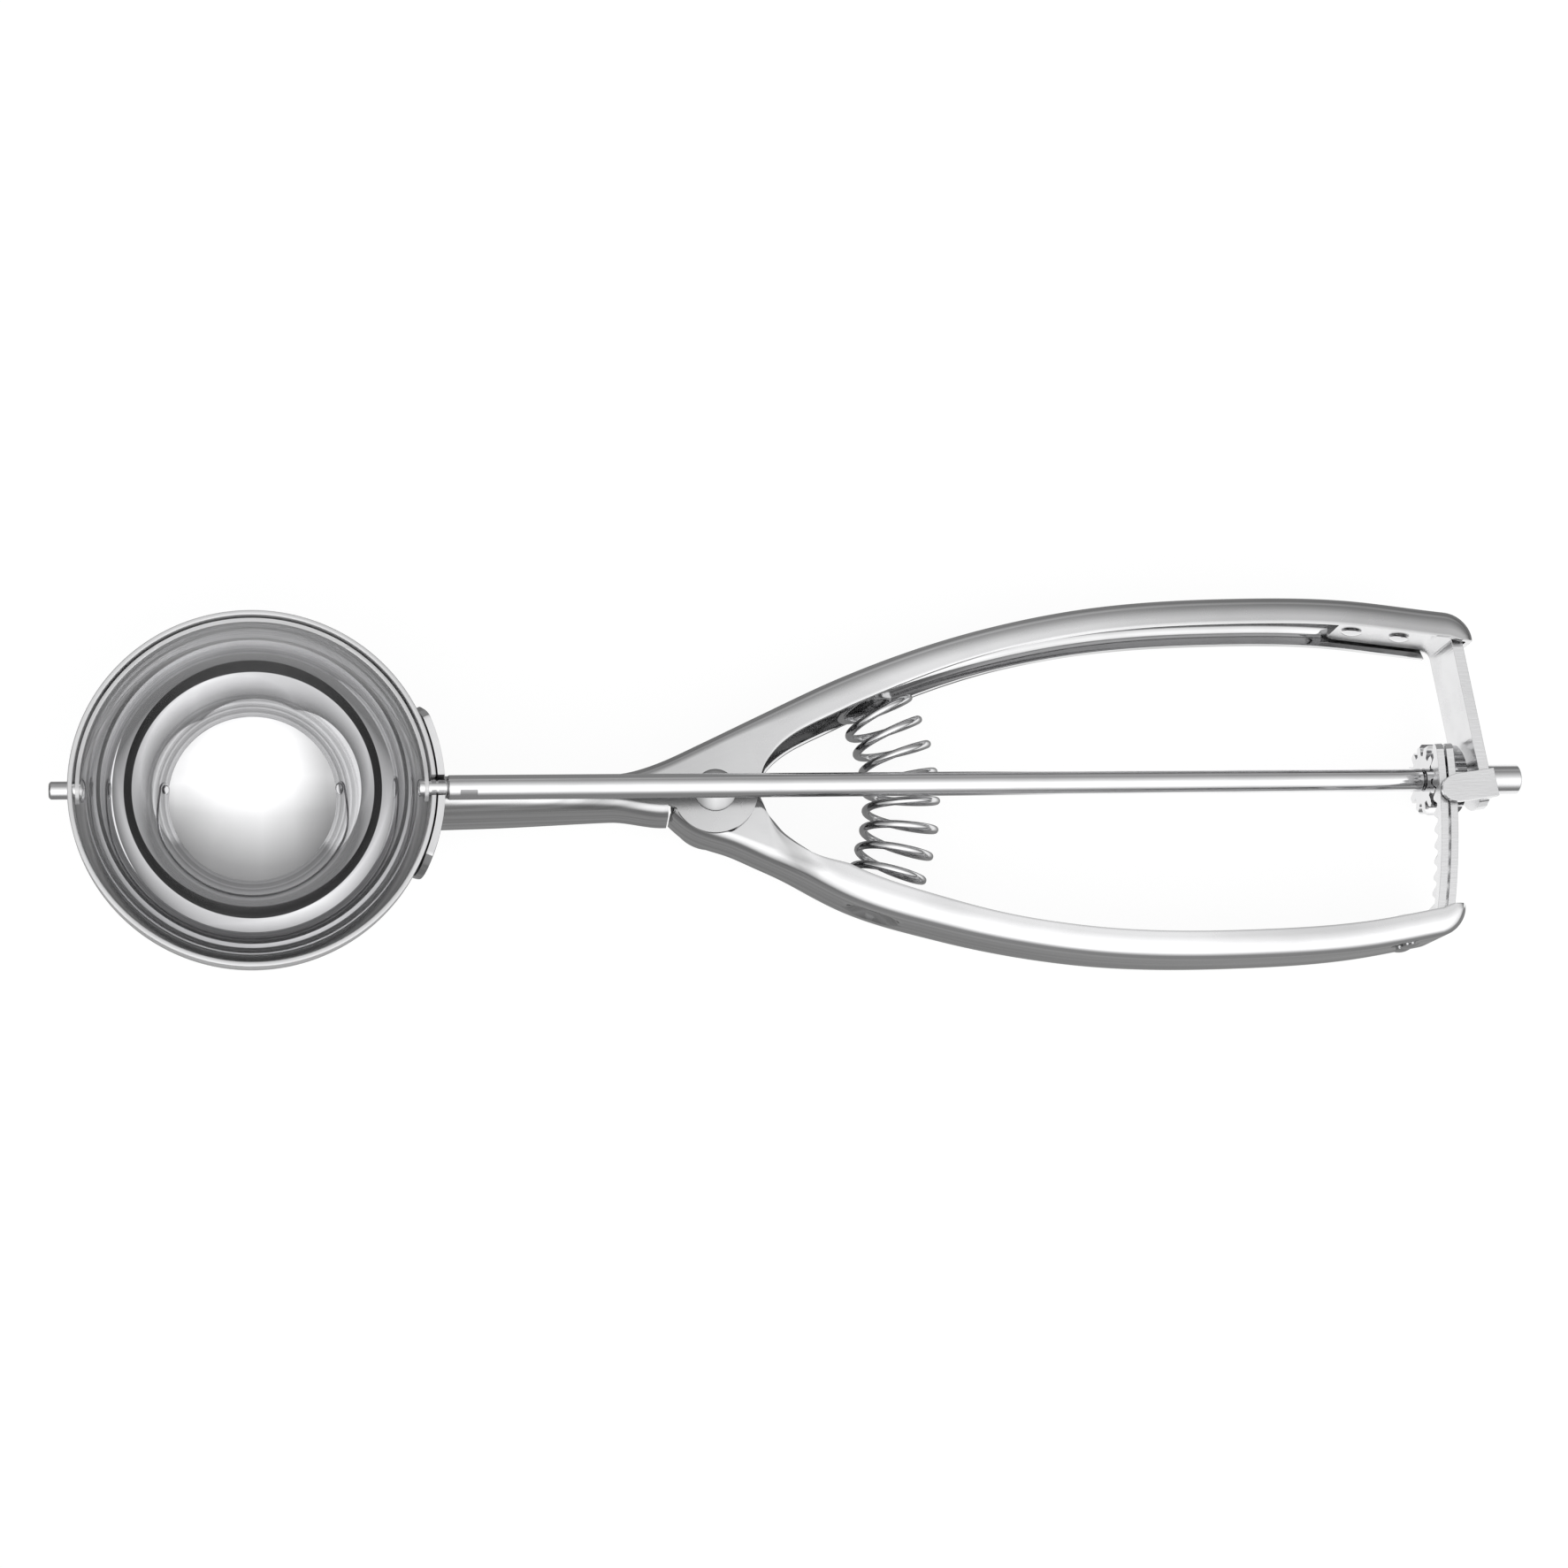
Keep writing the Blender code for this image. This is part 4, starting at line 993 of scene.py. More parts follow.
    def rod(self, dresser: Dresser) -> None:
        """Builds the shaft with its journal, its crimp and the spigot that the hub covers.

        Args:
            dresser: Gives the shaft its finish.
        """
        start = self.blade_outer - self.blade_sheet - self.shaft_inside
        shoulder = self.radius + self.saddle_room - start
        face = Drive().start - GAP - start
        end = face + self.spigot_length
        profile = [(0, 0), (0, self.journal - self.chamfer), (self.chamfer, self.journal),
                   (shoulder, self.journal), (shoulder, self.shaft - self.chamfer),
                   (shoulder + self.chamfer, self.shaft)]
        profile += [(mixed(shoulder + self.chamfer, face, u), self.shaft)
                    for u in spaced(0, 1, self.shaft_rings)[1:]]
        profile += [(face, self.spigot), (end, self.spigot), (end, 0)]
        obj = Bench.turned("shaft_rod", profile, PLACE.on_shaft(start), PLACE.axis,
                           self.shaft_sides)
        Bench.round_edges(obj, self.shaft_edge)
        middle = PLACE.on_shaft(self.radius + self.crimp_from_bowl)
        for turn, length in self.crimps:
            spin = Matrix.Rotation(math.radians(turn), 3, PLACE.axis)
            way = spin @ PLACE.mouth
            frame_turn = Matrix((PLACE.axis, way.cross(PLACE.axis), way)).transposed()
            centre = middle + way * (2 * self.shaft - self.crimp_depth)
            size = (length, 2 * self.shaft, 2 * self.shaft)
            Bench.cut(obj, Bench.block("crimp_jaw", centre, size, frame_turn))
        Bench.finish(obj)
        dresser.place(obj, Steel.DRAWN, Slot.POLISHED, "drive_shaft", Body.SHAFT)

    def build(self, dresser: Dresser) -> None:
        """Builds all four pieces.

        Args:
            dresser: Gives the pieces their finishes.
        """
        self.bowl(dresser)
        self.blade(dresser)
        self.pin(dresser)
        self.rod(dresser)


# The pressed levers


@dataclass
class Levers:
    """The two levers, pressed from sheet. Near the pivot, places count in ear radii from it.

    Attributes:
        sheet: The sheet's thickness.
        bend: The radius of the bends.
        crown: How much wider than high the handles' bends are.
        crown_over: Over how many ear radii from the pivot the bends widen.
        crown_share: The most that a bend takes of a flange's width.
        leg: The width of the handles' flanges.
        leg_flare: How much wider they are near the pivot.
        flare_fade: How fast the flare fades along the handle, and from where.
        neck_half: Half the neck's width at its front.
        neck_flare: How much wider the neck's side wall stands at its rear.
        neck_front_low: The height of the side walls' lower edge at the front.
        neck_rear_low: The same at the rear.
        neck_from: Where the neck starts, as a share of the bowl's radius.
        neck_to: Where it ends, before the pivot.
        neck_rise: Where before the pivot the neck's top starts to rise, and over what length.
        neck_hem: The same of the side walls' lower edge.
        neck_foot: The same of the lower bend.
        neck_spread: The same of the side wall's flare.
        shaft: The radius of the shaft that the neck lies under.
        reach: The length of the handles from the pivot.
        spread: Half the distance between the handles.
        rear: The radius of the handles' rear corners.
        rear_inset: Where the flanges' edge turns there, as a share of that radius.
        rear_floor: How many of a corner's sections still have a lower flange.
        ear: The radius of the fixed lever's ears.
        ear_span: How far the stations of the fixed ears reach.
        fixed_arc: The first angle of the fixed ears' arc and its sweep, in degrees.
        moving_arc: The same of the moving lever's ears.
        moving_ear_from: How far the moving lever's web runs past its ears' front.
        moving_ear_to: Where its ears' stations end, in its own ear radii.
        joggle: Where behind the pivot its flanges step out again, and over what length.
        fixed_crotch: The edge between the fixed lever's ears and its handle.
        moving_crotch: The same of the moving lever.
        fixed_handle: Where the fixed handle's straight edge starts, as a share of the reach.
        moving_handle: The same of the moving handle.
        fixed_front: The fixed lever's web before the handle.
        moving_front: The same of the moving lever.
        handle: The handles' webs, as shares of the reach and the spread.
        hole: The radius of the pivot's hole.
        hole_cuts: Between which heights the hole is drilled.
        edge: The radius of the sheets' rounded edges.
        boss: The radius of the spring's pressed seat.
        boss_height: How far it is pressed in.
        boss_from_pivot: How far behind the pivot it is.
        boss_lean: How much shorter it looks along X, because the web is slanted.
        boss_room: How far its slope reaches past its radius.
        boss_slope: The width of its slope.
        saddle_gap: The gap between the saddle and the bowl.
        saddle_half: Half the saddle's width.
        saddle_top: How far its upper edge lies above the shaft's axis.
        saddle_angle: How far down the bowl it reaches, in degrees.
        saddle_shape: Its width, as a share of the full one, by the share of that angle.
        room_sides: How many sides the sphere that clears the bowl has, round and along its axis.
        run: How many points a bend has.
        flat: How many points a flange has.
        web: How many points the web has.
        neck_rows: How many sections the neck has.
        ear_rows: How many sections the ears have.
        fixed_crotch_rows: How many sections lie between the fixed ears and the handle.
        moving_crotch_rows: The same of the moving lever.
        handle_rows: How many sections a handle has.
        saddle_rows: How many rows of points the saddle has.
        saddle_columns: How many points lie across it.
    """

    sheet: float = 1.1 * MM
    bend: float = 1.8 * MM
    crown: float = 1.7
    crown_over: float = 3.0
    crown_share: float = 0.7
    leg: float = 4.4 * MM
    leg_flare: float = 0.7 * MM
    flare_fade: Plan = (4.0, 0.65)
    neck_half: float = 2.7 * MM
    neck_flare: float = 1.2 * MM
    neck_front_low: float = 3.2 * MM
    neck_rear_low: float = 5.4 * MM
    neck_from: float = 0.4
    neck_to: float = 1.11
    neck_rise: Plan = (4.06, 2.9)
    neck_hem: Plan = (5.5, 3.5)
    neck_foot: Plan = (2.03, 1.0)
    neck_spread: Plan = (2.46, 1.3)
    shaft: float = 1.95 * MM
    reach: float = 120.9 * MM
    spread: float = 29.98 * MM
    rear: float = 5.2 * MM
    rear_inset: float = 0.04
    rear_floor: int = 2
    ear: float = 6.9 * MM
    ear_span: float = 2.06
    fixed_arc: Plan = (203.0, 157.0)
    moving_arc: Plan = (192.0, -178.0)
    moving_ear_from: float = 0.7 * MM
    moving_ear_to: float = 0.8
    joggle: Plan = (1.2, 1.15)
    fixed_crotch: tuple[Plan, ...] = ((1.0, 0.0), (1.23, 0.667), (1.9, 1.3))
    moving_crotch: tuple[Plan, ...] = ((1.09, -0.23), (1.45, -0.97), (2.23, -1.55))
    fixed_handle: float = 0.172
    moving_handle: float = 0.155
    fixed_front: tuple[Plan, ...] = ((-6.406, 0.391), (-3.2, 0.413), (-2.05, 0.493), (-1.33, 0.71),
                                     (-0.32, 1.145), (0.99, 1.74))
    moving_front: tuple[Plan, ...] = ((-1.06, 0.46), (-0.75, 0.78), (-0.32, 1.01), (0.32, 1.23),
                                      (1.03, 1.58), (1.71, 1.91))
    handle: tuple[Plan, ...] = ((0.17, 0.603), (0.30, 0.785), (0.478, 0.943), (0.705, 1.0),
                                (0.87, 0.976), (1.0, 0.90))
    hole: float = 2.25 * MM
    hole_cuts: tuple[Plan, ...] = ((-3 * MM, 4 * MM), (13 * MM, 20 * MM))
    edge: float = 0.15 * MM
    boss: float = 4.4 * MM
    boss_height: float = 1.3 * MM
    boss_from_pivot: float = 25.3 * MM
    boss_lean: float = 1.06
    boss_room: float = 0.2 * MM
    boss_slope: float = 1.5 * MM
    saddle_gap: float = 0.36 * MM
    saddle_half: float = 13.7 * MM
    saddle_top: float = 2.35 * MM
    saddle_angle: float = 66.0
    saddle_shape: tuple[Plan, ...] = ((0.0, 0.82), (0.08, 0.93), (0.2, 1.0), (0.5, 0.8),
                                      (0.82, 0.5), (0.95, 0.32), (1.0, 0.1))
    room_sides: tuple[int, int] = (160, 80)
    run: int = 9
    flat: int = 5
    web: int = 25
    neck_rows: int = 58
    ear_rows: int = 34
    fixed_crotch_rows: int = 30
    moving_crotch_rows: int = 34
    handle_rows: int = 130
    saddle_rows: int = 49
    saddle_columns: int = 41

    @property
    def inner_ear(self) -> float:
        """The radius of the moving lever's ears."""
        return self.ear - GAP

    def near_pivot(self, points: Sequence[Plan]) -> list[Plan]:
        """The plan points that are given from the pivot in ear radii."""
        return [(PLACE.pivot.x + a * self.ear, b * self.ear) for a, b in points]

    def line(self, front: Sequence[Plan], side: int) -> "Web":
        """A lever's web.

        Args:
            front: Its points before the handle, from the pivot in ear radii.
            side: 1 for the fixed lever's side and -1 for the moving one's.

        Returns:
            The web.
        """
        points = self.near_pivot(front)
        points += [(PLACE.pivot.x + a * self.reach, b * self.spread) for a, b in self.handle]
        return Web(PlanLine(points), side, self)

    @property
    def fixed_web(self) -> "Web":
        """The fixed lever's web."""
        return self.line(self.fixed_front, 1)

    @property
    def moving_web(self) -> "Web":
        """The moving lever's web."""
        return self.line(self.moving_front, -1)

    def section(self, spot: Vector, inward: Vector, edge: Vector, top: float, bottom: float,
                wall: tuple[Vector, float] | None = None,
                dent: Dent | None = None) -> list[Vector]:
        """The outer face of a lever's section, from its upper edge round the web to its lower edge.

        Args:
            spot: The web's plan point.
            inward: The plan direction into the channel.
            edge: The flanges' free edge in plan.
            top: The height of the upper face.
            bottom: The height of the lower face.
            wall: Plan point and lowest height of the neck's second side wall.
            dent: How far the web is pressed in, by height.

        Returns:
            The section's points, always as many.
        """
        behind = (spot.x - PLACE.pivot.x) / (self.crown_over * self.ear)
        wide = mixed(1.0, self.crown, smooth_step(behind))
        wide = min(wide, max(1.0, self.crown_share * (edge - spot).length / self.bend))

        def corner(plan: Vector, into: Vector, height: float, sign: int,
                   rising: bool) -> list[Vector]:
            """The points of one bend.

            Args:
                plan: The plan point of its outer side.
                into: The plan direction into the channel.
                height: The height of the face that it leads to.
                sign: 1 for an upper bend and -1 for a lower one.
                rising: True if its points start at the side.

            Returns:
                The bend's points.
            """
            angles = spaced(0, math.pi / 2, self.run)
            out = [Vector((*(plan + into * wide * self.bend * (1 - math.cos(a))),
                           height + sign * self.bend * (math.sin(a) - 1))) for a in angles]
            return out if rising else out[::-1]

        if wall:
            plan, low = wall
            left = [Vector((*plan, low))] + corner(plan, Vector((0, 1)), top, 1, True)
        else:
            left = [Vector((*edge, top))] * (self.run + 1)
        upper = corner(spot, inward, top, 1, False)
        lower = corner(spot, inward, bottom, -1, True)
        side = [upper[-1].lerp(lower[0], u) for u in spaced(0, 1, self.web)[1:-1]]
        if dent:
            side = [p + Vector((*inward, 0)) * dent(p.z) for p in side]
        over = [left[-1].lerp(upper[0], u) for u in spaced(0, 1, self.flat)[1:-1]]
        last = Vector((*edge, bottom))
        under = [lower[-1].lerp(last, u) for u in spaced(0, 1, self.flat)[1:]]
        return left + over + upper + side + lower + under

    def pressed_boss(self, x: float) -> Dent | None:
        """How far the web is pressed in at x for the spring's seat.

        Args:
            x: The place along the lever.

        Returns:
            The depth by height, or None away from the seat.
        """
        away = abs(x - PLACE.pivot.x - self.boss_from_pivot) * self.boss_lean
        if away > self.boss:
            return None
        return lambda z: self.boss_height * smooth_step(
            (self.boss + self.boss_room - math.hypot(away, z - PLACE.middle)) / self.boss_slope)

    def neck(self, web: "Web", x: float) -> list[Vector]:
        """The section of the fixed lever's neck at x.

        Args:
            web: The fixed lever's web.
            x: The place along the neck.

        Returns:
            The section's points.
        """
        spot, inward = web.face(x)
        near = (x - PLACE.pivot.x) / self.ear
        rise, hem, foot, flare = (
            smooth_step((near + start) / over)
            for start, over in (self.neck_rise, self.neck_hem, self.neck_foot, self.neck_spread))
        under = PLACE.axis_height(x) - self.shaft / PLACE.axis.x - 2.5 * GAP
        top = mixed(under, PLACE.high, rise)
        low = PLACE.low + mixed(self.neck_front_low, self.neck_rear_low, hem)
        bottom = mixed(low - self.bend, PLACE.low, foot)
        wall = Vector((x, -self.neck_half - self.neck_flare * flare))
        return self.section(spot, inward, wall, top, bottom, (wall, low))

    def rivet_holes(self, obj: bpy.types.Object) -> None:
        """Drills the pivot's hole through a lever's ears.

        Args:
            obj: The lever.
        """
        for low, high in self.hole_cuts:
            Bench.cut(obj, Bench.rod("ear_drill", Vector((PLACE.pivot.x, 0, low)),
                                     Vector((PLACE.pivot.x, 0, high)), self.hole))

    def fixed(self, dresser: Dresser) -> None:
        """Builds the fixed lever: saddle, neck, outer ears and handle.

        Args:
            dresser: Gives the lever its finish.
        """
        web = self.fixed_web
        neck_start = PLACE.bowl.x + self.neck_from * Scooping.radius
        neck_end = PLACE.pivot.x - self.neck_to * self.ear
        rows = [self.neck(web, x) for x in spaced(neck_start, neck_end, self.neck_rows)]
        walled = len(rows)
        top, bottom = PLACE.high, PLACE.low
        first, sweep = self.fixed_arc
        ear_start, span = PLACE.pivot.x - self.inner_ear, self.ear_span * self.ear
        for u in spaced(0, 1, self.ear_rows):
            spot, inward = web.face(ear_start + span * u)
            edge = PLACE.round_pivot(self.ear, first + sweep * u)
            rows.append(self.section(spot, inward, edge, top, bottom))
        handle_x = PLACE.pivot.x + self.fixed_handle * self.reach
        crotch = flowing([*self.near_pivot(self.fixed_crotch), web.leg_edge(handle_x)],
                         self.fixed_crotch_rows)
        places = spaced(ear_start + span, handle_x, self.fixed_crotch_rows)
        for x, edge in zip(places[1:], crotch[1:]):
            dent = self.pressed_boss(x)
            rows.append(self.section(*web.face(x), edge, top, bottom, dent=dent))
        x_start, corner = web.rear(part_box("fixed_lever")[1].x)
        for x in spaced(handle_x, x_start, self.handle_rows)[1:]:
            dent = self.pressed_boss(x)
            rows.append(self.section(*web.face(x), web.leg_edge(x), top, bottom, dent=dent))
        straight = len(rows)
        rows += [self.section(*station, top, bottom) for station in corner]
        floor = len(rows[0]) - self.flat

        def missing(i: int, j: int) -> bool:
            """Says which cells hold no metal.

            Args:
                i: The cell's row, from the saddle.
                j: Its column, from the second side wall.

            Returns:
                True behind the neck's second wall, and where no lower flange is.
            """
            if j <= self.run - 1:
                return i >= walled - 1
            return j >= floor and not walled <= i < straight + self.rear_floor

        obj = Bench.sheet("fixed_handle", rows, self.sheet, self.edge, flip=True, missing=missing)
        self.rivet_holes(obj)
        around, along = self.room_sides
        Bench.clear()
        bpy.ops.mesh.primitive_uv_sphere_add(
            segments=around, ring_count=along, location=PLACE.bowl,
            radius=Scooping.radius + self.saddle_gap + self.sheet / 2)
        Bench.cut(obj, Bench.take("bowl_room"))
        Bench.cut(obj, self.saddle(), "UNION")
        Bench.cut(obj, Scooping().notch("saddle_slot"))
        Bench.finish(obj)
        dresser.place(obj, Steel.PRESSED, Slot.POLISHED, "fixed_lever", Body.FRAME)

    def saddle(self) -> bpy.types.Object:
        """The patch of a sphere, at the end of the fixed lever, that the bowl sits in.

        Returns:
            The patch.
        """
        radius = Scooping.radius + self.saddle_gap + self.sheet
        top = math.asin(self.saddle_top / radius)
        rows = []
        for share, width in flowing(self.saddle_shape, self.saddle_rows):
            n = radius * math.sin(top - (math.radians(self.saddle_angle) + top) * share)
            rows.append([PLACE.on_shaft(math.sqrt(radius ** 2 - n ** 2 - (y * width) ** 2),
                                        y * width, n)
                         for y in spaced(-self.saddle_half, self.saddle_half,
                                         self.saddle_columns)])
        return Bench.sheet("saddle_patch", rows, self.sheet, self.edge, flip=True)

    def moving(self, dresser: Dresser) -> None:
        """Builds the moving lever, whose ears step in to nest between the fixed lever's.

        Args:
            dresser: Gives the lever its finish.
        """
        web = self.moving_web
        step = self.sheet + GAP
        first, sweep = self.moving_arc
        stepped_from, stepped_over = (share * self.ear for share in self.joggle)

        def station(x: float, edge: Vector) -> list[Vector]:
            """The section at x.

            Args:
                x: The place along the lever.
                edge: The flanges' free edge there.

            Returns:
                The section's points.
            """
            sunk = step * (1 - smooth_step((x - PLACE.pivot.x - stepped_from) / stepped_over))
            return self.section(*web.face(x), edge, PLACE.high - sunk, PLACE.low + sunk,
                                dent=self.pressed_boss(x))

        front = PLACE.pivot.x - self.inner_ear - self.moving_ear_from
        ear_x = PLACE.pivot.x + self.moving_ear_to * self.inner_ear
        rows = [station(mixed(front, ear_x, u),
                        PLACE.round_pivot(self.inner_ear, first + sweep * u))
                for u in spaced(0, 1, self.ear_rows)]
        handle_x = PLACE.pivot.x + self.moving_handle * self.reach
        crotch = flowing([PLACE.round_pivot(self.inner_ear, first + sweep),
                          *self.near_pivot(self.moving_crotch), web.leg_edge(handle_x)],
                         self.moving_crotch_rows)
        places = spaced(ear_x, handle_x, self.moving_crotch_rows)
        rows += [station(x, edge) for x, edge in zip(places[1:], crotch[1:])]
        x_start, corner = web.rear(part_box("moving_lever")[1].x)
        places = spaced(handle_x, x_start, self.handle_rows)
        rows += [station(x, web.leg_edge(x)) for x in places[1:]]
        rows += [self.section(*spot, PLACE.high, PLACE.low) for spot in corner]
        rows = [row[self.run:] for row in rows]
        obj = Bench.sheet("moving_handle", rows, self.sheet, self.edge)
        self.rivet_holes(obj)
        Bench.finish(obj)
        dresser.place(obj, Steel.PRESSED, Slot.POLISHED, "moving_lever", Body.LEVER)

    def build(self, dresser: Dresser) -> None:
        """Builds both levers."""
        self.fixed(dresser)
        self.moving(dresser)


@dataclass
class Web:
    """A lever's web in plan: its outer face on one side of the shaft.

    Attributes:
        line: Its plan line.
        side: 1 for the fixed lever's side and -1 for the moving one's.
        sizes: The levers' sizes.
    """

    line: PlanLine
    side: int
    sizes: Levers

    def face(self, x: float) -> tuple[Vector, Vector]:
        """The outer face at x, and the direction into the channel."""
        y, slope = self.line.at(x)
        return Vector((x, self.side * y)), Vector((slope, -self.side)).normalized()

    def leg_edge(self, x: float) -> Vector:
        """The free edge of the flanges at x.

        Args:
            x: The place along the lever.

        Returns:
            The edge's plan point.
        """
        spot, inward = self.face(x)
        rate, start = self.sizes.flare_fade
        fade = smooth_step((x - PLACE.pivot.x) / self.sizes.reach * rate - start)
        return spot + inward * (self.sizes.leg + self.sizes.leg_flare * (1 - fade))

    def rear(self, x_end: float, count: int = 22) -> tuple[float, list[Station]]:
        """Stations round the lever's rear corner.

        Args:
            x_end: Where the lever ends.
            count: The number of stations.

        Returns:
            Where the corner starts, and each station's face, inward direction and edge.
        """
        radius = self.sizes.rear
        lean = math.atan(self.line.at(x_end - radius)[1])
        x_start = x_end - radius * (1 + math.sin(lean))
        y, slope = self.line.at(x_start)
        centre = Vector((x_end - radius, y - radius * math.cos(lean)))
        stations = []
        for u in spaced(0, 1, count + 1)[1:]:
            a = (math.pi / 2 + lean) * (1 - u)
            out = Vector((math.cos(a), math.sin(a)))
            first = Vector((x_start + self.sizes.rear_inset * radius,
                            y - self.sizes.leg + slope * u * radius / 2))
            last = Vector((x_end - self.sizes.bend - GAP, centre.y))
            spots = (centre + out * radius, -out, first.lerp(last, u))
            stations.append(tuple(Vector((p.x, self.side * p.y)) for p in spots))
        return x_start, stations


# The drive and what is riveted


@dataclass
class Drive:
    """The pinion with its hub, the two racks and the bearing bracket.

    Attributes:
        teeth: How many teeth the pinion has.
        module: Their module.
        pressure: Their pressure angle, in degrees.
        backlash: The play between the teeth and the racks'.
        dedendum: The depth of the teeth below the pitch circle.
        front: How far behind the solid's front face the toothed end starts.
        length: The length of the toothed part.
        chamfer: The chamfer of the teeth's ends.
        hub: The hub's radius.
        hub_chamfer: Its chamfer.
        bore: The radius of the bore.
        bore_depth: Its depth.
        edge: The radius of the rounded edges.
        sharp: From which angle on a kept node's edges are rounded, in degrees.
        root_undercut: How much narrower a gap is at its root, in radians.
        mouth_flare: How much wider the cutter is past the tips, in radians.
        gap_stop: How far before the toothed part's end the gaps end.
        flank_points: How many points a flank has.
        blank_steps: How many sides the blank has.
    """

    teeth: int = 12
    module: float = 0.86 * MM
    pressure: float = 25.0
    backlash: float = 0.28 * MM
    dedendum: float = 1.15 * MM
    front: float = 1.2 * MM
    length: float = 5.8 * MM
    chamfer: float = 0.55 * MM
    hub: float = 2.56 * MM
    hub_chamfer: float = 0.35 * MM
    bore: float = 1.75 * MM
    bore_depth: float = 14.0 * MM
    edge: float = 0.10 * MM
    sharp: float = 35.0
    root_undercut: float = 0.02
    mouth_flare: float = 0.1
    gap_stop: float = 0.02 * MM
    flank_points: int = 9
    blank_steps: int = 120

    @property
    def tip(self) -> float:
        """The radius of the teeth's tips."""
        return (self.teeth / 2 + 1) * self.module

    @property
    def start(self) -> float:
        """How far along the shaft the pinion starts."""
        lean = (self.tip - self.chamfer) * abs(PLACE.axis.z)
        return (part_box("pinion")[0].x - PLACE.bowl.x + lean) / PLACE.axis.x + self.front

    @property
    def end(self) -> float:
        """How far along the shaft the hub ends."""
        lean = (self.hub - self.hub_chamfer) * abs(PLACE.axis.z)
        return (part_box("pinion")[1].x - PLACE.bowl.x - lean) / PLACE.axis.x

    def gap_outline(self) -> list[Plan]:
        """The outline of a gap between two teeth.

        Returns:
            (radius, angle) pairs, centred on the angle 0.
        """
        pitch = self.teeth * self.module / 2
        base, tip = pitch * math.cos(math.radians(self.pressure)), self.tip
        root = pitch - self.dedendum

        def roll(angle: float) -> float:
            """The involute's roll at a pressure angle."""
            return math.tan(angle) - angle

        half = math.pi / (2 * self.teeth) + self.backlash / (4 * pitch)
        flank = [(r, half - roll(math.radians(self.pressure)) + roll(math.acos(min(1.0, base / r))))
                 for r in spaced(max(base, root), tip, self.flank_points)]
        flank = [(root, flank[0][1] - self.root_undercut)] + flank
        flank.append((tip + self.module, flank[-1][1] + self.mouth_flare))
        return [(r, -a) for r, a in flank] + [(r, a) for r, a in reversed(flank)]

    def pinion(self, dresser: Dresser) -> None:
        """Turns a blank with its hub, and cuts its teeth and its bore.

        Args:
            dresser: Gives the pinion its finish.
        """
        tip, start, end = self.tip, self.start, self.end
        profile = [(0, 0), (0, tip - self.chamfer), (self.chamfer, tip),
                   (self.length - self.chamfer / 2, tip), (self.length, tip - self.chamfer / 2),
                   (self.length, self.hub), (end - start - self.hub_chamfer, self.hub),
                   (end - start, self.hub - self.hub_chamfer), (end - start, 0)]
        obj = Bench.turned("pinion_gear", profile, PLACE.on_shaft(start), PLACE.axis,
                           self.blank_steps)
        Bench.round_edges(obj, self.edge, segments=2, angle=25.0)
        outline = [PLACE.on_shaft(start - MM, r * math.sin(a), r * math.cos(a))
                   for r, a in self.gap_outline()]
        cutter = Bench.prism("tooth_gaps", outline, PLACE.axis * (self.length + MM - self.gap_stop))
        step = 2 * math.pi / self.teeth
        with Bench.editing(cutter, "FACE"):
            bpy.ops.mesh.spin(steps=self.teeth - 1, dupli=True, angle=2 * math.pi - step,
                              center=PLACE.bowl, axis=PLACE.axis)
        half = Matrix.Rotation(step / 2, 4, PLACE.axis)
        cutter.data.transform(Matrix.Translation(PLACE.bowl) @ half
                              @ Matrix.Translation(-PLACE.bowl))
        Bench.cut(obj, cutter)
        Bench.cut(obj, Bench.rod("hub_drill", PLACE.on_shaft(start - MM),
                                 PLACE.on_shaft(start + self.bore_depth), self.bore))
        Bench.finish(obj, angle=30.0)
        dresser.place(obj, Steel.TURNED, Slot.TURNED, "pinion", Body.SHAFT)

    def soften(self, dresser: Dresser, node: str, steel: Steel) -> None:
        """Keeps a node, with its edges rounded and its finish on.

        Args:
            dresser: Gives the node its finish.
            node: The node's name.
            steel: Its finish.
        """
        obj = frame["nodes"][node]
        obj.modifiers.new("Weld", "WELD").merge_threshold = MERGE
        bevel = obj.modifiers.new("Edges", "BEVEL")
        bevel.width = self.edge
        bevel.segments = 2
        bevel.limit_method = "ANGLE"
        bevel.angle_limit = math.radians(self.sharp)
        obj.modifiers.new("Flats", "WEIGHTED_NORMAL").keep_sharp = True
        dresser.dress(obj, steel)
        log.info("%s: kept, with its edges rounded", node)

    def build(self, dresser: Dresser) -> None:
        """Builds the pinion and finishes the racks and the bracket.

        Args:
            dresser: Gives the pieces their finishes.
        """
        self.pinion(dresser)
        for node in ("rack_inner", "rack_outer", "bearing_bracket"):
            self.soften(dresser, node, Steel.SHEARED)


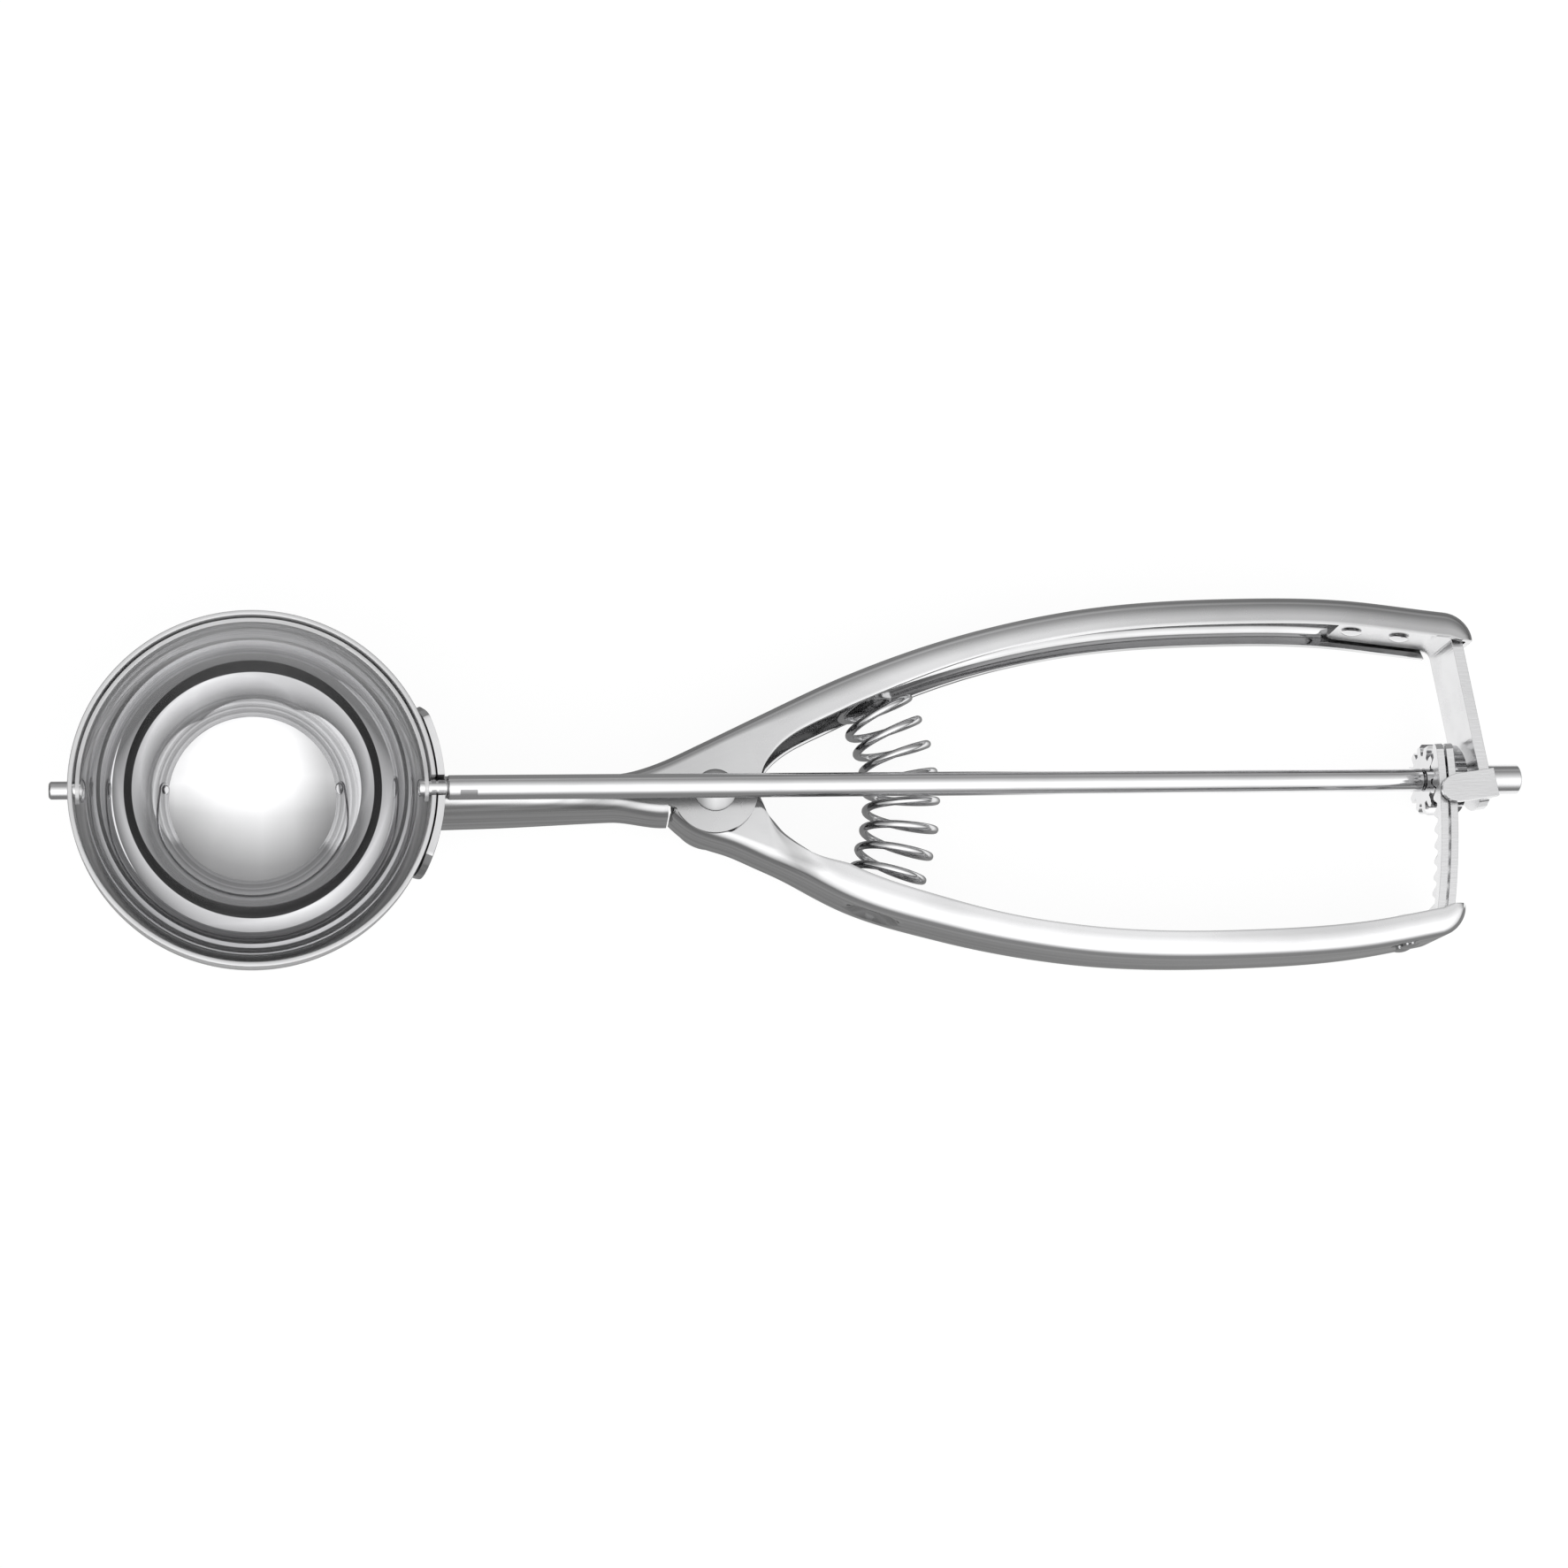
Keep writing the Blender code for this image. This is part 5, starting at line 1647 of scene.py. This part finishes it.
@dataclass
class Rivets:
    """The domed rivets: the large one of the pivot and four small ones.

    Attributes:
        pivot_shank: The radius of the large rivet's shank.
        pivot_head: The radius of its heads.
        pivot_height: The height of its heads.
        small_shank: The radius of a small rivet's shank.
        small_head: The radius of its heads.
        small_height: The height of its heads.
        edge: The radius of the heads' rounded edges.
        crown_points: How many points a head's crown has.
        steps: How many sides a rivet has.
    """

    pivot_shank: float = 2.0 * MM
    pivot_head: float = 3.45 * MM
    pivot_height: float = 1.1 * MM
    small_shank: float = 1.0 * MM
    small_head: float = 1.75 * MM
    small_height: float = 0.5 * MM
    edge: float = 0.09 * MM
    crown_points: int = 14
    steps: int = 72

    def rivet(self, name: str, start: Vector, end: Vector, shank: float, head: float,
              height: float) -> bpy.types.Object:
        """Builds a rivet with a domed head at each end.

        Args:
            name: The rivet's name.
            start: The crown of its first head.
            end: The crown of the other.
            shank: Its shank's radius.
            head: Its heads' radius.
            height: Their height.

        Returns:
            The rivet.
        """
        way = end - start
        ball = (head ** 2 + height ** 2) / (2 * height)
        crown = [(height - ball + math.sqrt(ball ** 2 - r ** 2), r)
                 for r in spaced(head, 0, self.crown_points)]
        low = [(height - a, r) for a, r in crown[::-1]]
        high = [(way.length - height + a, r) for a, r in crown]
        profile = low + [(height, shank), (way.length - height, shank)] + high
        obj = Bench.turned(name, profile, start, way, self.steps)
        Bench.round_edges(obj, self.edge)
        Bench.finish(obj)
        return obj

    def build(self, dresser: Dresser) -> None:
        """Builds all five rivets.

        Args:
            dresser: Gives the rivets their finishes.
        """
        low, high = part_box("pivot_rivet")
        spot = Vector((PLACE.pivot.x, 0, 0))
        obj = self.rivet("pivot_rivet_turned", spot + Vector((0, 0, low.z)),
                         spot + Vector((0, 0, high.z)), self.pivot_shank, self.pivot_head,
                         self.pivot_height)
        # The pivot rivet gets the darker steel: painted shade on its heads.
        dresser.place(obj, Steel.HEADED, Slot.POLISHED, "pivot_rivet", Body.FRAME)
        for node, body in (("rack_rivet_upper", Body.LEVER), ("rack_rivet_lower", Body.LEVER),
                           ("bracket_rivet_front", Body.FRAME), ("bracket_rivet_rear", Body.FRAME)):
            points = np.array([v.co for v in frame["nodes"][node].data.vertices])
            middle = (points.max(0) + points.min(0)) / 2
            apart = points - middle
            axis = self.longest(apart)
            furthest = Vector(apart[np.argmax(np.abs(apart @ axis))])
            way = Vector(axis) * abs(furthest.dot(Vector(axis)))
            centre = Vector(middle)
            obj = self.rivet(f"{node}_turned", centre - way, centre + way, self.small_shank,
                             self.small_head, self.small_height)
            dresser.place(obj, Steel.TURNED, Slot.TURNED, node, body)

    @staticmethod
    def longest(points: np.ndarray) -> np.ndarray:
        """The direction in which a cloud of points is longest."""
        return np.linalg.svd(points, full_matrices=False)[2][0]


@dataclass
class Spring:
    """The coil spring between the levers.

    Attributes:
        wire: The wire's diameter.
        outer: The coil's outer diameter.
        turns: How many turns it has.
        closing: How much closer its end turns lie.
        bulge: How far its middle bows to the rear.
        per_turn: How many points a turn has.
        samples: How many points its middle line is drawn with.
        roundness: How finely the wire is rounded.
    """

    wire: float = 1.32 * MM
    outer: float = 12.9 * MM
    turns: float = 10.0
    closing: float = 0.012
    bulge: float = 5.0 * MM
    per_turn: int = 40
    samples: int = 401
    roundness: int = 6

    def coil(self, start: Vector, end: Vector) -> list[Vector]:
        """Points along the wire of a coil between two plan points.

        Args:
            start: The end at the fixed lever.
            end: The end at the moving lever.

        Returns:
            The points.
        """
        radius = (self.outer - self.wire) / 2
        line = [start.lerp(end, u) + Vector((self.bulge * math.sin(math.pi * u), 0))
                for u in spaced(0, 1, self.samples)]
        shares = spaced(0, 1, int(self.turns * self.per_turn) + 1)
        centres = resampled(line, [u - self.closing * math.sin(2 * math.pi * u) for u in shares])
        points = []
        for k, (u, centre) in enumerate(zip(shares, centres)):
            along = (centres[min(k + 1, len(centres) - 1)] - centres[max(k - 1, 0)]).normalized()
            out = Vector((-along.y, along.x, 0))
            angle = 2 * math.pi * self.turns * u - math.pi / 2
            points.append(Vector((*centre, PLACE.middle)) + out * (radius * math.cos(angle))
                          + Vector((0, 0, radius * math.sin(angle))))
        return points

    def build(self, dresser: Dresser) -> None:
        """Builds the spring as one tube, which bends between the two levers.

        Args:
            dresser: Gives the spring its finish.
        """
        levers = Levers()
        x = PLACE.pivot.x + levers.boss_from_pivot
        ends = []
        for web in (levers.fixed_web, levers.moving_web):
            spot, inward = web.face(x)
            ends.append(spot + inward * (levers.sheet + GAP + self.wire / 2))
        points = self.coil(*ends)
        curve = bpy.data.curves.new("coil", "CURVE")
        curve.dimensions = "3D"
        curve.bevel_depth = self.wire / 2
        curve.bevel_resolution = self.roundness
        curve.use_fill_caps = True
        tube = curve.splines.new("POLY")
        tube.points.add(len(points) - 1)
        for knot, spot in zip(tube.points, points):
            knot.co = (*spot, 1.0)
        obj = bpy.data.objects.new("coil_spring", curve)
        bpy.context.scene.collection.objects.link(obj)
        Bench.choose(obj)
        bpy.ops.object.convert(target="MESH")
        obj = bpy.context.active_object
        with Bench.editing(obj):
            bpy.ops.mesh.remove_doubles(threshold=MERGE)
            bpy.ops.mesh.normals_make_consistent(inside=False)
        Bench.finish(obj, angle=50.0)
        dresser.dress(obj, Steel.WIRE)
        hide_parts("return_spring")
        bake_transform(obj)
        log.info("%s: %d faces, bends between the levers", obj.name, len(obj.data.polygons))


# The studio


@dataclass
class Studio:
    """The floor, the light and the camera.

    The ceiling is a plane overhead at the height 1: its places are how far a direction goes
    along X or Y for each step up.

    Attributes:
        aim: What the camera looks at.
        distance: How far it stands off.
        lens: Its focal length in millimetres.
        nearest: The nearest that it sees.
        turns: Its turns from a view straight down.
        peak: The brightest light in the tent.
        across: The tent's light by the angle from straight up towards +Y, in degrees.
        along: How that light fades by the direction along X.
        panel: The ceiling panel's half width, its rear edge and its front edge.
        panel_light: The panel's light in its middle, how much is lost at its edges, and how fast.
        front_wall: Where the front wall starts, which stays as dark as the panel's edge.
        wall_light: The other walls' light at the horizon, and how much more it is higher up.
        lens_spot: Where the dark lens shows.
        lens_size: How wide and how deep it shows.
        lens_light: The share of the light that it sends back.
        shade: The share of the light that matt surfaces don't get.
        floor_size: The floor's length and width.
        floor_grey: The grey of its paint.
        floor_light: How bright the camera sees it.
        floor_mirrored: How bright the steel mirrors it, and how much more in its lit part.
        floor_own: How much of that is the floor's own light, seen and mirrored.
        lit_ahead: Between which X the lit part sets in.
        lit_left: Between which Y it ends.
        lit_right: Between which Y it sets in.
    """

    aim: tuple[float, float, float] = (-5.61 * MM, 0.56 * MM, 18.86 * MM)
    distance: float = 471.2 * MM
    lens: float = 67.2
    nearest: float = 10 * MM
    turns: tuple[tuple[float, str], ...] = ((2.65, "Z"), (-10.98, "X"), (4.93, "Y"))
    peak: float = 2.2
    across: tuple[Plan, ...] = ((-90, 0.38), (-75, 0.7), (-60, 1.5), (-45, 1.9), (-20, 2.2),
                                (0, 1.6), (8, 1.3), (16, 1.1), (25, 0.9), (34, 0.72), (43, 0.55),
                                (53, 0.44), (57, 0.4), (61, 0.62), (67, 0.6), (73, 0.45),
                                (85, 0.3), (90, 0.28))
    along: tuple[Plan, ...] = ((-1, 0.3), (-0.7, 0.42), (-0.35, 0.8), (0, 1), (0.5, 0.9),
                               (0.85, 0.65), (1, 0.35))
    panel: tuple[float, float, float] = (0.7, 0.95, -0.35)
    panel_light: tuple[float, float, float] = (2.07, 1.75, 0.7)
    front_wall: float = -0.8
    wall_light: Plan = (0.35, 1.5)
    lens_spot: Plan = (0.097, -0.199)
    lens_size: Plan = (0.13, 0.20)
    lens_light: float = 0.06
    shade: float = 0.45
    floor_size: float = 6.0
    floor_grey: float = 0.85
    floor_light: float = 1.09
    floor_mirrored: Plan = (0.28, 1.1)
    floor_own: Plan = (0.85, 0.9)
    lit_ahead: Plan = (25 * MM, 45 * MM)
    lit_left: Plan = (22 * MM, 30 * MM)
    lit_right: Plan = (-24 * MM, -18 * MM)

    def camera(self) -> None:
        """Sets the camera at the photograph's place."""
        data = bpy.data.cameras.new("camera")
        data.lens = self.lens
        data.clip_start = self.nearest
        cam = bpy.data.objects.new("camera", data)
        turn = Matrix.Identity(3)
        for degrees, axis in self.turns:
            turn = turn @ Matrix.Rotation(math.radians(degrees), 3, axis)
        back = turn.transposed()
        spot = Vector(self.aim) + back @ Vector((0, 0, self.distance))
        cam.matrix_world = Matrix.Translation(spot) @ back.to_4x4()
        bpy.context.scene.collection.objects.link(cam)
        bpy.context.scene.camera = cam

    def tent(self, graph: Graph, x: Sock, y: Sock, z: Sock) -> Sock:
        """The light that a first reflection sees: white overhead, darker to the horizon.

        Args:
            graph: The world's graph.
            x: How far the direction goes along X.
            y: How far it goes along Y.
            z: How far it goes up.

        Returns:
            The light.
        """
        angle = y.math("ARCTAN2", z) / math.pi + 0.5
        across = graph.node("ShaderNodeValToRGB", {
            "stops": [(a / 180 + 0.5, light / self.peak) for a, light in self.across]},
            {"Fac": angle})
        along = graph.node("ShaderNodeValToRGB", {
            "stops": [(a / 2 + 0.5, light) for a, light in self.along]}, {"Fac": x * 0.5 + 0.5})
        return across * along * self.peak

    def ceiling(self, x: Sock, y: Sock, z: Sock) -> Sock:
        """The light that later reflections see: a ceiling panel, bright walls and the dark lens.

        Args:
            x: How far the direction goes along X.
            y: How far it goes along Y.
            z: How far it goes up.

        Returns:
            The light.
        """
        half, rear, front = self.panel
        middle, lost, fall = self.panel_light
        horizon, higher = self.wall_light
        z = z.math("MAXIMUM", 0.02)
        u, v = x / z, y / z
        side = u.math("ABSOLUTE")
        edge = (side / half).math("MAXIMUM", v / rear)
        far = edge.math("MAXIMUM", v / front).math("MINIMUM", 1.0)
        panel = middle - lost * far ** fall
        dark = (v / self.front_wall - side).step(0.0, 0.3)
        wall = edge.step(0.99, 1.03) * (1.0 - dark)
        light = panel + wall * (higher * z.step(0.05, 0.5) + horizon - panel)
        spot = (((u - self.lens_spot[0]) / self.lens_size[0]) ** 2.0
                + ((v - self.lens_spot[1]) / self.lens_size[1]) ** 2.0)
        return light * (self.lens_light + (1 - self.lens_light) * spot.step(0.9, 1.1))

    def world(self) -> None:
        """Puts the scoop in its light tent."""
        world = bpy.data.worlds.new("studio")
        world.use_nodes = True
        graph = Graph(world.node_tree)
        at = graph.node("ShaderNodeTexCoord", None, None, "Generated")
        x, y, z = (graph.node("ShaderNodeSeparateXYZ", None, {0: at}, axis) for axis in "XYZ")
        seen, soft, bounces = (graph.node("ShaderNodeLightPath", None, None, name)
                               for name in ("Is Camera Ray", "Is Diffuse Ray", "Glossy Depth"))
        first = self.tent(graph, x, y, z)
        light = first + bounces.step(1.4, 1.6) * (self.ceiling(x, y, z) - first)
        light = light * (1.0 - self.shade * soft)
        light = light + seen * (1.0 - light)
        back = graph.node("ShaderNodeBackground", None, {"Color": light, "Strength": 1.0})
        graph.node("ShaderNodeOutputWorld", None, {"Surface": back})
        bpy.context.scene.world = world

    def floor(self) -> None:
        """Lays the pale floor, which keeps a faint shadow."""
        Bench.clear()
        bpy.ops.mesh.primitive_plane_add(size=self.floor_size)
        obj = Bench.take("floor")
        made = bpy.data.materials.new("floor")
        made.use_nodes = True
        graph = Graph(made.node_tree)
        seen, mirrored = (graph.node("ShaderNodeLightPath", None, None, name)
                          for name in ("Is Camera Ray", "Is Glossy Ray"))
        at = graph.node("ShaderNodeTexCoord", None, None, "Object")
        x, y = (graph.node("ShaderNodeSeparateXYZ", None, {0: at}, axis) for axis in "XY")
        inside = (x.step(*self.lit_ahead) * (1.0 - y.step(*self.lit_left))
                  * y.step(*self.lit_right))
        dim, lit = self.floor_mirrored
        light = self.floor_light * seen + mirrored * (dim + lit * inside)
        paint = (self.floor_grey,) * 3 + (1.0,)
        plain = graph.node("ShaderNodeBsdfDiffuse", None, {"Color": paint})
        bright = graph.node("ShaderNodeEmission", None, {"Color": light, "Strength": 1.0})
        own = self.floor_own[0] * seen + self.floor_own[1] * mirrored
        both = graph.node("ShaderNodeMixShader", None, {0: own, 1: plain, 2: bright})
        graph.node("ShaderNodeOutputMaterial", None, {"Surface": both})
        obj.data.materials.append(made)

    def build(self) -> None:
        """Builds the whole studio."""
        self.camera()
        self.world()
        self.floor()
        bpy.context.scene.view_settings.view_transform = "Standard"


def main() -> None:
    """Builds the studio and every piece."""
    logging.basicConfig(level=logging.INFO, format="%(name)s: %(message)s")
    Studio().build()
    dresser = Dresser()
    Scooping().build(dresser)
    Levers().build(dresser)
    Drive().build(dresser)
    Rivets().build(dresser)
    Spring().build(dresser)


if __name__ == "__main__":
    main()
